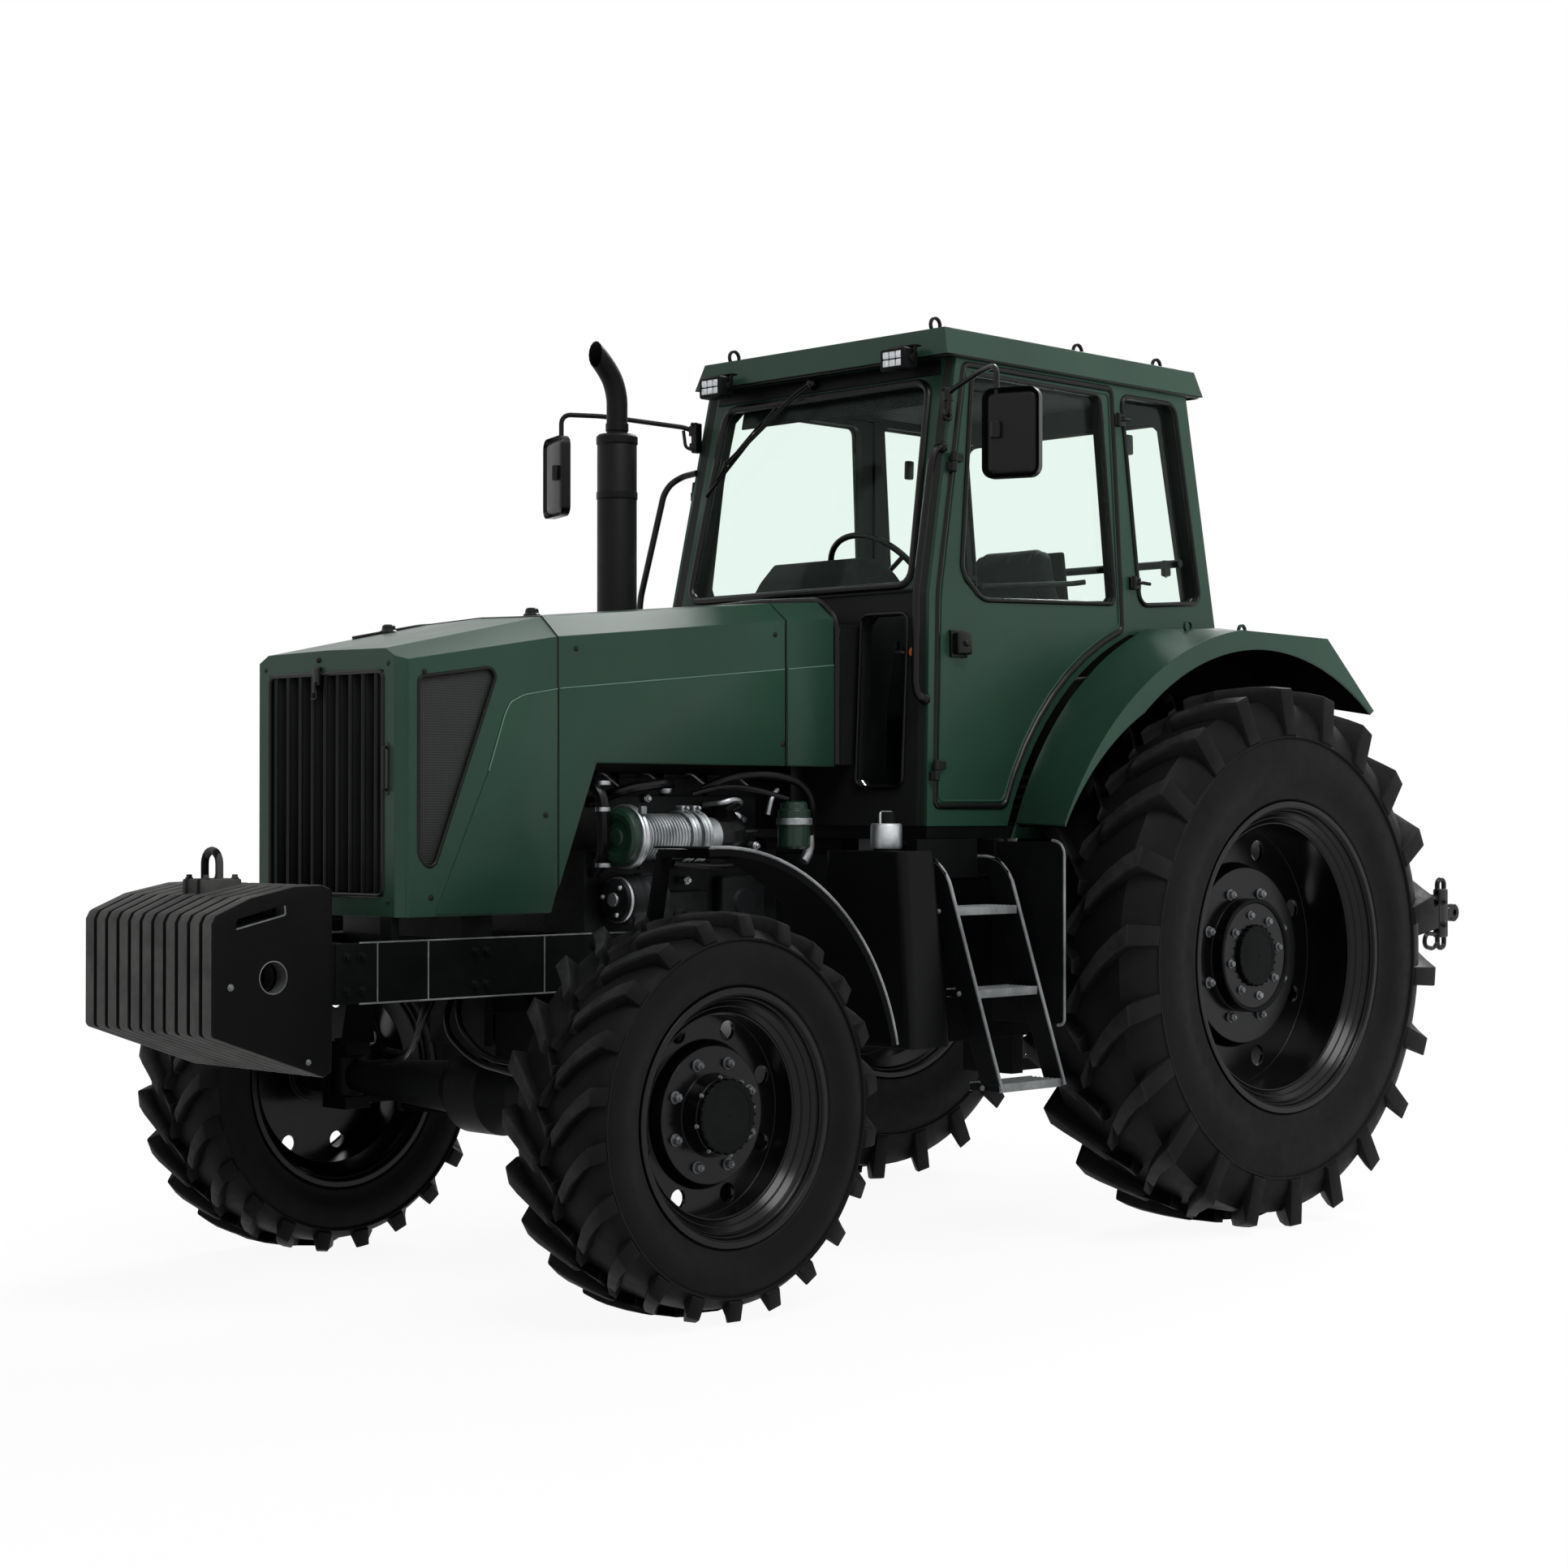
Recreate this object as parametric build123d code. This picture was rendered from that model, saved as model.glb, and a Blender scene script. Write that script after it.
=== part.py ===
from build123d import *
import math
import os

os.makedirs("parts", exist_ok=True)

# A farm tractor. The front points to -Y, the tractor's left is +X and the ground is Z = 0.
# Driving dimensions, in millimetres.
wheelbase = 2446
front_reach = 1157  # front axle to the weights' front faces
rear_reach = 1907  # rear axle to the coupler's rear edge
seat_gap = 0.3  # between pieces that lie against each other
swing_gap = 6.0  # between a door or lid and its frame
front_axle_y = front_reach - (wheelbase + front_reach + rear_reach) / 2
rear_axle_y = front_axle_y + wheelbase


class Sizes:
    def __init__(self, **named):
        self.__dict__.update(named)


front_wheel = Sizes(
    tip_r=545, lug_height=30, width=360, shoulder_r=478, flange_r=344, rim_width=320, centre_x=863,
    lug_count=18, lug_thick=34, shoulder=42, web_x=14, disc_x=46, disc_r=184, hub_r=112,
    hub_face_x=110, hole_r=26, hole_count=8, axle_r=45,
)
rear_wheel = Sizes(
    tip_r=882, lug_height=40, width=460, shoulder_r=738, flange_r=505, rim_width=430, centre_x=868,
    lug_count=22, lug_thick=46, shoulder=62, web_x=-30, disc_x=18, disc_r=288, hub_r=186,
    hub_face_x=72, hole_r=34, hole_count=8, axle_r=70,
)
front_axle_z = front_wheel.tip_r
rear_axle_z = rear_wheel.tip_r

# Steering
king_pin_x = 690
king_pin_r = 22
boss_r = 48
boss_half_height = 60
steering_arm = 200
tie_rod_drop = 70
tie_rod_r = 15

# Cab, heights above the ground and lengths behind the front axle; it stands over the rear axle
cab_floor_z = 1309
cab_sill_z = 2030
cab_top_z = 2778
cab_half = 605
cab_tilt = 1.9  # degrees that the side walls lean in
cab_wall = 45
cab_front_low = wheelbase - 1233
cab_front_sill = wheelbase - 1196
cab_front_top = wheelbase - 1041
cab_rear_top = wheelbase + 144
cab_rear_low = wheelbase + 278
roof_height = 88
roof_front = wheelbase - 1099
roof_rear = wheelbase + 224
roof_half = cab_half - 34
glass_thick = 6

# Bonnet: half widths and heights of its cross sections
bonnet_half = 340
bonnet_top_half = 270
bonnet_sheet = 6
bonnet_front = -590
bonnet_bottom_z = 1070
bonnet_seam = -40
bonnet_end = cab_front_low - 345
cowl_end = cab_front_low - 133
# columns: behind the front axle, crease height, top edge height, crown height
bonnet_sections = [
    (bonnet_front, 1758, 1793, 1797),
    (bonnet_seam, 1845, 1905, 1913),
    (bonnet_end, 1935, 1990, 1998),
    (cowl_end, 1949, 2004, 2012),
]
bonnet_side_z = 1492  # lower edge over the engine

# Rear linkage, relative to the rear axle (behind, height above the ground)
link_pivot_y = 400
link_pivot_z = 620
link_pivot_x = 360
link_end_y = 1560
link_end_z = 905
link_end_x = 490
rod_share = 0.42  # of the lower link's length
rod_lean = -90
rod_height = 600
pin_r = 14


def behind(distance):
    return front_axle_y + distance


def from_rear(outline):
    """Points typed as (behind the rear axle, height) as (behind the front axle, height)."""
    return [(wheelbase + y, z) for y, z in outline]


def block(x, y, z):
    """A box from (low, high) pairs; y is measured behind the front axle."""
    size = [high - low for low, high in (x, y, z)]
    middle = [(x[0] + x[1]) / 2, behind((y[0] + y[1]) / 2), (z[0] + z[1]) / 2]
    return Pos(*middle) * Box(*size)


def rod(start, end, radius):
    start, end = Vector(*start), Vector(*end)
    length = (end - start).length
    return Plane(origin=start, z_dir=end - start) * extrude(Circle(radius), length)


def pipe(points, bend, radius, bore=0):
    path = FilletPolyline(*points, radius=bend)
    section = Plane(origin=path @ 0, z_dir=path % 0) * Circle(radius)
    tube = sweep(section, path)
    if bore:
        tube -= sweep(Plane(origin=path @ 0, z_dir=path % 0) * Circle(bore), path)
    return tube


def side_plate(outline, x_low, x_high):
    """A plate in the side view; the outline's points are (behind the front axle, height)."""
    face = Plane.YZ.offset(x_low) * Polygon(*[(behind(y), z) for y, z in outline], align=None)
    return extrude(face, x_high - x_low, dir=(1, 0, 0))


def front_plate(outline, y_low, y_high):
    """A plate in the front view; the outline's points are (x, height)."""
    face = Plane.XZ.offset(-behind(y_low)) * Polygon(*outline, align=None)
    return extrude(face, y_high - y_low, dir=(0, 1, 0))


def lifting_eye(x, y, z, radius=26, turned=0):
    ring = Rot(90, 0, 0) * (Cylinder(radius, 9) - Cylinder(radius - 8, 20))
    return Pos(x, behind(y), z) * Rot(0, 0, turned) * Pos(0, 0, radius - 5) * ring


def mirrored(shape):
    return mirror(shape, about=Plane.YZ)


def save(name, *solids):
    shape = solids[0] if len(solids) == 1 else Compound(children=list(solids))
    export_step(shape, f"parts/{name}.step")


def save_pair(name, shape, other=None):
    save(f"{name}_left", shape)
    save(f"{name}_right", other if other is not None else mirrored(shape))


# ---------------------------------------------------------------- wheels
flange_thick = 14
flange_height = 26
rim_sheet = 11


def flat_sided(low, high):
    """A solid with flat sides between two outlines of as many corners."""
    count = len(low)
    sides = [make_face(Polyline(low[i], low[(i + 1) % count], high[(i + 1) % count], high[i], close=True))
             for i in range(count)]
    ends = [make_face(Polyline(*low, close=True)), make_face(Polyline(*high, close=True))]
    return Solid(Shell(sides + ends))


def facet_ring(outer_r, inner_r, width, sides):
    """A ring with flat facets; inner_r is measured to the flats."""
    face = RegularPolygon(outer_r, sides) - RegularPolygon(inner_r / math.cos(math.pi / sides), sides)
    return Rot(0, 90, 0) * Pos(0, 0, -width / 2) * extrude(face, width)


def tyre(w):
    sides = 2 * w.lug_count
    bead_x = w.rim_width / 2 - flange_thick - seat_gap
    bed_r = w.flange_r - flange_height + seat_gap
    neck_r = w.flange_r + 4
    crown_r = w.tip_r - w.lug_height
    tread_x = w.width / 2 - 22
    body = facet_ring(crown_r, neck_r, w.width, sides)
    outer = body.edges().filter_by(lambda e: abs(e.center().X) > w.width / 2 - 1)
    shoulders = outer.filter_by(lambda e: math.hypot(e.center().Y, e.center().Z) > (crown_r + neck_r) / 2)
    body = chamfer(shoulders, w.shoulder)
    rims = body.edges().filter_by(lambda e: abs(e.center().X) > w.width / 2 - 1).filter_by(
        lambda e: math.hypot(e.center().Y, e.center().Z) < (crown_r + neck_r) / 2)
    body = chamfer(rims, w.width / 2 - bead_x - 1)
    carcass = body + facet_ring(neck_r / math.cos(math.pi / sides) + 2, bed_r, 2 * bead_x, sides)
    reach = 0.42 * w.width  # how far a lug runs round the tyre
    inner_x = -0.03 * w.width
    slope = reach / (tread_x - inner_x)
    half = w.lug_thick / 2 * math.hypot(1, slope)
    farthest = reach / 2 + half
    top_z = math.sqrt(w.tip_r**2 - farthest**2)
    root_z = w.shoulder_r + 12
    draft = 0.16

    def section(z, grow, longer):
        outer_x = tread_x + longer
        low = -reach / 2
        high = low + slope * (outer_x - inner_x)
        return [(inner_x, low - half - grow, z), (outer_x, high - half - grow, z),
                (outer_x, high + half + grow, z), (inner_x, low + half + grow, z)]

    lug = flat_sided(section(root_z, draft * (top_z - root_z), 16), section(top_z, 0, -4))
    pitch = 360 / w.lug_count
    first = 180 - math.degrees(math.atan2(farthest, top_z))
    lugs = []
    for number in range(w.lug_count):
        lugs.append(Rot(first + number * pitch, 0, 0) * lug)
        lugs.append(Rot(first + (number + 0.5) * pitch, 0, 0) * mirrored(lug))
    return carcass + lugs


def rim(w):
    half = w.rim_width / 2
    bed_r = w.flange_r - flange_height
    well_r = bed_r - 44
    lip = [(half, w.flange_r - 16), (half, w.flange_r), (half - flange_thick, w.flange_r),
           (half - flange_thick, bed_r)]
    inside = [(half - 34, bed_r - rim_sheet), (half - 70, well_r)]
    outline = lip + [(-x, r) for x, r in lip[::-1]] + [(-x, r) for x, r in inside] + inside[::-1]
    section = make_face(Polyline(*outline, close=True))
    bore_r = w.axle_r + seat_gap
    face_x = w.hub_face_x
    disc_face = w.disc_x + 16
    hub_back = w.web_x - 16
    web = [(w.web_x, w.hub_r - 24), (w.web_x, well_r + 2), (w.web_x + 12, well_r + 2), (w.web_x + 12,
        w.disc_r + 16),
           (disc_face, w.disc_r), (disc_face, w.hub_r), (face_x, w.hub_r - 8), (face_x,
               0), (face_x - 22, 0),
           (face_x - 22, bore_r), (hub_back, bore_r), (hub_back, w.hub_r - 24)]
    body = revolve(Plane.XZ * section, Axis.X) + revolve(Plane.XZ * make_face(Polyline(*web,
        close=True)), Axis.X)
    hole_ring = (w.disc_r + 16 + well_r) / 2
    for number in range(w.hole_count):
        hole = Rot((number + 0.5) * 360 / w.hole_count, 0, 0) * Pos(w.web_x, 0, hole_ring)
        body -= hole * Rot(0, 90, 0) * Cylinder(w.hole_r, 60)
    return body


def spun(shape, w, axle_y, axle_z):
    return Pos(w.centre_x, axle_y, axle_z) * shape


save_pair("front_tyre", spun(tyre(front_wheel), front_wheel, front_axle_y, front_axle_z))
save_pair("front_rim", spun(rim(front_wheel), front_wheel, front_axle_y, front_axle_z))
save_pair("rear_tyre", spun(tyre(rear_wheel), rear_wheel, rear_axle_y, rear_axle_z))
save_pair("rear_rim", spun(rim(rear_wheel), rear_wheel, rear_axle_y, rear_axle_z))

# ---------------------------------------------------------------- front axle and steering
diff_r = 125
trumpet = [(0, 0), (0, diff_r), (70, diff_r), (150, 78), (520, 58), (king_pin_x - boss_r + 6, 46),
           (king_pin_x - boss_r + 6, 0)]
half_beam = Pos(0, front_axle_y, front_axle_z) * revolve(
    Plane.XZ * make_face(Polyline(*trumpet, close=True)), Axis.X)
boss = Pos(king_pin_x, front_axle_y, front_axle_z) * (
    Cylinder(boss_r, 2 * boss_half_height) - Cylinder(king_pin_r + seat_gap, 3 * boss_half_height))
half_beam += boss
pivot_top_z = 848
saddle = block((-110, 110), (-75, 75), (front_axle_z + 60, pivot_top_z - 70))
pivot = Pos(0, front_axle_y, pivot_top_z - 90) * Rot(90, 0, 0) * Cylinder(62, 250)
save("front_axle", half_beam + mirrored(half_beam) + saddle + pivot)

yoke_gap = 2.0
yoke_height = boss_half_height + 40
yoke = Pos(king_pin_x + 14, front_axle_y, front_axle_z) * Box(118, 92, 2 * yoke_height)
yoke -= Pos(king_pin_x, front_axle_y, front_axle_z) * Cylinder(boss_r + 8,
    2 * (boss_half_height + yoke_gap))
yoke -= Pos(king_pin_x - 60, front_axle_y, front_axle_z) * Box(120, 120, 2 * (boss_half_height + yoke_gap))
yoke += Pos(king_pin_x, front_axle_y, front_axle_z) * Cylinder(king_pin_r, 2 * yoke_height - 10)
spindle_end = front_wheel.centre_x + front_wheel.hub_face_x - 24
yoke += rod((king_pin_x + 66, front_axle_y, front_axle_z), (spindle_end, front_axle_y, front_axle_z),
            front_wheel.axle_r)
yoke += rod((king_pin_x + 66, front_axle_y, front_axle_z),
            (front_wheel.centre_x + front_wheel.web_x - 22, front_axle_y, front_axle_z), 62)
arm_z = front_axle_z - tie_rod_drop
arm = block((king_pin_x - 26, king_pin_x + 26), (20, steering_arm), (arm_z - 17, arm_z + 6))
arm += Pos(king_pin_x, front_axle_y + steering_arm, arm_z - 5.5) * Cylinder(26, 23)
arm += Pos(king_pin_x, front_axle_y + steering_arm, arm_z - 30) * Cylinder(10, 50)
yoke += arm
save_pair("knuckle", yoke)
eye_z = arm_z - 17 - 1 - 16
eye_left = Pos(king_pin_x, front_axle_y + steering_arm, eye_z) * (Cylinder(24,
    32) - Cylinder(10 + seat_gap, 40))
tie = rod((-king_pin_x + 20, front_axle_y + steering_arm, eye_z),
          (king_pin_x - 20, front_axle_y + steering_arm, eye_z), tie_rod_r)
tie += eye_left + mirrored(eye_left)
tie -= Pos(king_pin_x, front_axle_y + steering_arm, eye_z) * Cylinder(10 + seat_gap, 40)
tie -= Pos(-king_pin_x, front_axle_y + steering_arm, eye_z) * Cylinder(10 + seat_gap, 40)
save("tie_rod", tie)

# front fenders ride on the knuckles
fender_r = 716
fender_sheet = 5
fender_x = (735, 955)
fender_arc = (12, 93)  # degrees above the rear horizontal


def ring_piece(centre_y, centre_z, r_low, r_high, x_low, x_high, start, end):
    """Part of a ring round an axle, from start to end in degrees above the rear horizontal."""
    sector = CenterArc((centre_y, centre_z), r_high, start, end - start)
    inner = CenterArc((centre_y, centre_z), r_low, end, start - end)
    edges = [sector, Line(sector @ 1, inner @ 0), inner, Line(inner @ 1, sector @ 0)]
    return extrude(Plane.YZ.offset(x_low) * make_face(edges), x_high - x_low, dir=(1, 0, 0))


front_fender = ring_piece(front_axle_y, front_axle_z, fender_r - fender_sheet, fender_r, *fender_x,
    *fender_arc)
front_fender += ring_piece(front_axle_y, front_axle_z, fender_r - 26, fender_r, fender_x[1] - 4,
    fender_x[1], *fender_arc)
stay_x = king_pin_x - 38
stay_thick = 12
stay_top = front_axle_z + fender_r - fender_sheet
stay_outline = [(-60, front_axle_z + yoke_height + seat_gap), (60, front_axle_z + yoke_height + seat_gap),
                (40, front_axle_z + 330), (110, stay_top - 14), (60, stay_top - 14), (0,
                    front_axle_z + 420)]
stay = side_plate(stay_outline, stay_x - stay_thick, stay_x)
stay += block((stay_x - stay_thick, fender_x[1] - 30), (64, 104), (stay_top - 30, stay_top - 6))
stay += block((stay_x - stay_thick, king_pin_x + 20), (-40, 40),
              (front_axle_z + yoke_height + seat_gap, front_axle_z + yoke_height + 14))
save_pair("front_fender", front_fender + stay)

# ---------------------------------------------------------------- frame, weights, engine
rail_z = (845, 1005)
engine_half = 235
engine_front = 150
rail_half = 306
rail_thick = 34
frame_front = -775
frame = block((rail_half - rail_thick, rail_half), (frame_front, 920), rail_z)
frame += mirrored(frame)
for low, high in ((frame_front, frame_front + 60), (-330, -250)):
    frame += block((-rail_half, rail_half), (low, high), rail_z)
pivot_ear = block((-125, 125), (-128, -98), (pivot_top_z - 160, rail_z[1])) + block(
    (-125, 125), (98, 128), (pivot_top_z - 160, rail_z[1]))
pivot_ear += block((-rail_half, rail_half), (-128, -98), (rail_z[0] + 30, rail_z[1] - 10))
pivot_ear += block((-rail_half, rail_half), (98, engine_front - seat_gap), (rail_z[0] + 30, rail_z[1] - 10))
for side in (-1, 1):
    pivot_ear += block(sorted((side * (engine_half + seat_gap), side * (rail_half - 2))), (700, 900),
        (870, 980))
pivot_ear -= Pos(0, front_axle_y, pivot_top_z - 90) * Rot(90, 0, 0) * Cylinder(62 + seat_gap, 400)
frame += pivot_ear
frame += block((-300, 300), (frame_front - 60, frame_front), (rail_z[0], rail_z[1]))
for side in (-1, 1):
    frame += block(sorted((side * 252, side * 302)), (bonnet_front - 2, bonnet_front + 24),
                   (rail_z[1] - 10, bonnet_bottom_z - seat_gap))
save("front_frame", frame)

weight_count = 11
weight_pitch = 55.6
weight_thick = 50
weight_outline = [(-front_reach, 785), (-front_reach, 1068), (-1145, 1090), (-1039, 1133), (-901, 1160),
                  (-816, 1162), (-780, 1150), (-780, 1105), (-780, 670), (-808, 655), (-1150, 778)]
hook_front = frame_front - 60 - seat_gap
hook = [(hook_front, rail_z[0] - seat_gap), (hook_front, rail_z[1] + seat_gap), (-700,
    rail_z[1] + seat_gap),
        (-700, rail_z[0] - seat_gap)]
weights = []
for number in range(weight_count):
    x = (number - (weight_count - 1) / 2) * weight_pitch
    slab = side_plate(weight_outline, x - weight_thick / 2, x + weight_thick / 2)
    slab -= side_plate(hook, x - weight_thick, x + weight_thick)
    slab -= side_plate([(-1085, 1052), (-1080, 1078), (-935, 1112), (-930, 1084)], x - weight_thick,
        x + weight_thick)
    slab -= Pos(x, behind(-969), 925) * Rot(0, 90, 0) * Cylinder(42, 2 * weight_thick)
    if x == 0:
        slab += block((-24, 24), (-1000, -910), (1125, 1175)) + lifting_eye(0, -955, 1175, 34)
    weights.append(slab)
save("front_weights", *weights)

engine = block((-engine_half + 40, engine_half - 40), (engine_front + 20, 900), (700, 830))
engine += block((-engine_half, engine_half), (engine_front, 930), (830, 1240))
engine += block((-engine_half + 30, engine_half - 60), (engine_front + 20, 900), (1240, 1400))
for number in range(4):
    low = engine_front + 30 + number * 180
    engine += block((-120, 150), (low, low + 160), (1400, 1455))
radiator = block((-270, 270), (-330, -220), (rail_z[1] + seat_gap, 1690))
save("engine", engine, radiator)

# air cleaner along the left side, with its ribbed tube and clamps
cleaner_x, cleaner_z = 330, 1280


def along_y(x, z, parts):
    """Stacked discs along Y; columns: from, to, radius."""
    shape = None
    for low, high, radius in parts:
        disc = rod((x, behind(low), z), (x, behind(high), z), radius)
        shape = disc if shape is None else shape + disc
    return shape


cleaner = along_y(cleaner_x, cleaner_z, [
    (186, 212, 84), (212, 240, 93), (240, 262, 78), (262, 420, 66), (420, 455, 76), (455, 470, 66),
    (470, 505, 76), (505, 560, 58)])
for number in range(6):
    cleaner += along_y(cleaner_x, cleaner_z, [(272 + number * 24, 282 + number * 24, 70)])
cleaner += block((engine_half - 60 + seat_gap, cleaner_x), (300, 340), (cleaner_z - 20, cleaner_z + 20))
canister = Pos(338, behind(905), 1300) * Cylinder(50, 120)
canister += Pos(338, behind(905), 1368) * Cylinder(38, 20)
canister += block((engine_half - 60 + seat_gap, 300), (860, 895), (1330, 1360))
alternator = along_y(316, 1100, [(190, 215, 62), (215, 340, 74), (340, 362, 60)])
alternator += block((engine_half + seat_gap, 316), (240, 300), (1070, 1130))
bracket = block((engine_half - 60 + seat_gap, 330), (600, 760), (1268, 1292))
save("engine_fittings", cleaner, canister, alternator, bracket)

# ---------------------------------------------------------------- bonnet


def bonnet_face(row, inset):
    y, crease_z, edge_z, crown_z = row
    bottom = bonnet_bottom_z - (60 if inset else 0)
    side = bonnet_half - inset
    edge = bonnet_top_half - inset * 0.6
    points = [(-side, bottom), (-side, crease_z - inset * 0.5), (-edge, edge_z - inset), (0,
        crown_z - inset),
              (edge, edge_z - inset), (side, crease_z - inset * 0.5), (side, bottom)]
    return Plane.XZ.offset(-behind(y)) * Polygon(*points, align=None)


def between(low, high):
    """Bonnet section row at a length between two given rows."""
    rows = bonnet_sections
    for first, second in zip(rows, rows[1:]):
        if first[0] <= low <= second[0]:
            share = (low - first[0]) / (second[0] - first[0])
            return tuple(a + share * (b - a) for a, b in zip(first, second))
    return rows[0] if low < rows[0][0] else rows[-1]


def bonnet_shell(y_low, y_high, front_wall=0):
    outer = loft([bonnet_face(between(y_low, 0), 0), bonnet_face(between(y_high, 0), 0)], ruled=True)
    low, high = between(y_low, 0), between(y_high, 0)
    low_in = (low[0] + (front_wall if front_wall else -1),) + low[1:]
    high_in = (high[0] + 1,) + high[1:]
    inner = loft([bonnet_face(low_in, bonnet_sheet), bonnet_face(high_in, bonnet_sheet)], ruled=True)
    return outer - inner


lid_pin_y, lid_pin_z, lid_pin_r = cowl_end - 80, 1900, 6
nose_wall = 22
nose = bonnet_shell(bonnet_front, bonnet_seam, nose_wall)
corner_cut = 28
for side in (-1, 1):
    cut = Plane.XY.offset(bonnet_bottom_z - 80) * Polygon(
        (side * (bonnet_half + 1), behind(bonnet_front - 1)),
        (side * (bonnet_half - corner_cut), behind(bonnet_front - 1)),
        (side * (bonnet_half + 1), behind(bonnet_front + corner_cut)), align=None)
    nose -= extrude(cut, 900, dir=(0, 0, 1))
grille_half = 264
grille_z = (1125, 1735)
nose -= block((-grille_half, grille_half), (bonnet_front - 20, bonnet_front + 60), grille_z)
vent = [(-530, 1716), (-282, 1750), (-262, 1730), (-474, 1208), (-502, 1204), (-530, 1235)]
nose -= side_plate(vent, -bonnet_half - 20, bonnet_half + 20)
lower_cut = [(-96, 1000), (102, bonnet_side_z), (3000, bonnet_side_z), (3000, 1000)]
nose -= side_plate(lower_cut, -500, 500)
save("bonnet_nose", nose)
lid = bonnet_shell(bonnet_seam, bonnet_end - 4)
lid -= side_plate(lower_cut, -500, 500)
arm = side_plate([(lid_pin_y, lid_pin_z + 13), (lid_pin_y + 13, lid_pin_z), (lid_pin_y, lid_pin_z - 14),
                  (lid_pin_y - 190, 1806), (lid_pin_y - 214, 1806), (lid_pin_y - 214,
                      1983), (lid_pin_y - 188, 1982),
                  (lid_pin_y - 188, 1834)], 160, 172)
arm -= Pos(166, behind(lid_pin_y), lid_pin_z) * Rot(0, 90, 0) * Cylinder(lid_pin_r + 0.3, 40)
save("bonnet_top", lid + arm + mirrored(arm))
cowl = bonnet_shell(bonnet_end + 4, cowl_end)
cowl -= side_plate([(0, 900), (0, bonnet_side_z), (3000, bonnet_side_z), (3000, 900)], -500, 500)
firewall = block((-280, 280), (cowl_end - 30, cab_front_sill + 5), (bonnet_side_z + 8, 1940))
firewall += block((-bonnet_half + 2, bonnet_half - 2), (cowl_end - 30, cowl_end - 18),
    (bonnet_side_z + 8, 1900))
pin_lug = side_plate([(cowl_end - 20, 1860), (lid_pin_y - 12, lid_pin_z - 12), (lid_pin_y - 12,
    lid_pin_z + 12),
                      (cowl_end - 20, 1936)], 174, 186)
pin_lug += rod((158, behind(lid_pin_y), lid_pin_z), (176, behind(lid_pin_y), lid_pin_z), lid_pin_r)
cowl += firewall + pin_lug + mirrored(pin_lug)

slat_count = 9
slat_pitch = 2 * (grille_half - seat_gap) / slat_count
grille = block((-grille_half + seat_gap, grille_half - seat_gap), (bonnet_front + 14, bonnet_front + 20),
               (grille_z[0] + seat_gap, grille_z[1] - seat_gap))
for number in range(slat_count):
    x = (number - (slat_count - 1) / 2) * slat_pitch
    grille += Pos(x, behind(bonnet_front + 14), sum(grille_z) / 2) * Box(
        slat_pitch * 0.62, 20, grille_z[1] - grille_z[0] - 12)
mesh_x = bonnet_half - bonnet_sheet - seat_gap
mesh = side_plate([(-542, 1728), (-276, 1766), (-250, 1732), (-466, 1196), (-506, 1192), (-542, 1232)],
                  mesh_x - 4, mesh_x)
save("grille", grille, mesh, mirrored(mesh))

# ---------------------------------------------------------------- exhaust
stack_x, stack_y = -410, cab_front_low - 363
muffler_r, stack_r = 64, 32
muffler_z = (1760, 2563)
exhaust = Pos(stack_x, behind(stack_y), sum(muffler_z) / 2) * Cylinder(muffler_r,
    muffler_z[1] - muffler_z[0])
exhaust += pipe([(stack_x, behind(stack_y), muffler_z[1] - 5), (stack_x, behind(stack_y), 2690),
                 (stack_x, behind(stack_y - 75), 2850)], 90, stack_r, stack_r - 4)
exhaust += pipe([(stack_x, behind(stack_y), muffler_z[0] + 5), (stack_x, behind(stack_y), 1330),
                 (-engine_half + 30 - seat_gap, behind(stack_y), 1330)], 60, 30)
save("exhaust", exhaust)

# ---------------------------------------------------------------- transmission and rear axle
gearbox_end = wheelbase - 946
housing = block((-190, 190), (930 + seat_gap, gearbox_end), (720, 1220))
housing_top = 1130
housing += block((-235, 235), (gearbox_end, wheelbase + 330), (600, housing_top))
axle_end = rear_wheel.centre_x + rear_wheel.hub_face_x - 24
half_axle = rod((200, rear_axle_y, rear_axle_z), (rear_wheel.centre_x + rear_wheel.web_x - 22,
    rear_axle_y, rear_axle_z), 98)
half_axle += rod((200, rear_axle_y, rear_axle_z), (420, rear_axle_y, rear_axle_z), 150)
half_axle += rod((400, rear_axle_y, rear_axle_z), (axle_end, rear_axle_y, rear_axle_z), rear_wheel.axle_r)
housing += half_axle + mirrored(half_axle)
rockshaft_y = wheelbase + link_pivot_y + rod_lean
rockshaft_z = link_pivot_z + rod_height
housing += block((-170, 170), (rockshaft_y - 90, rockshaft_y + 70), (housing_top - 10, rockshaft_z + 44))
housing += block((-235, 235), (wheelbase + 300, wheelbase + 350), (600, housing_top - 60))
rock_bore = Pos(0, behind(rockshaft_y), rockshaft_z) * Rot(0, 90, 0) * Cylinder(34 + seat_gap, 600)
housing -= rock_bore
for side in (-1, 1):
    lug_x = sorted((side * (link_pivot_x - 75), side * (link_pivot_x - 51)))
    housing += block(lug_x, (wheelbase + 250, wheelbase + link_pivot_y + 45), (link_pivot_z - 50,
        link_pivot_z + 60))
    housing += block(sorted((side * 200, side * (link_pivot_x - 51))), (wheelbase + 250, wheelbase + 330),
                     (link_pivot_z - 50, link_pivot_z + 60))
    housing += rod((side * (link_pivot_x - 60), behind(wheelbase + link_pivot_y), link_pivot_z),
                   (side * (link_pivot_x + 26), behind(wheelbase + link_pivot_y), link_pivot_z), pin_r)
pto_r = 17.5
pto_z = 700
housing += rod((0, behind(wheelbase + 340), pto_z), (0, behind(wheelbase + 430), pto_z), pto_r)
drawbar_z = (455, 495)
drawbar_end = wheelbase + 560
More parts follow.
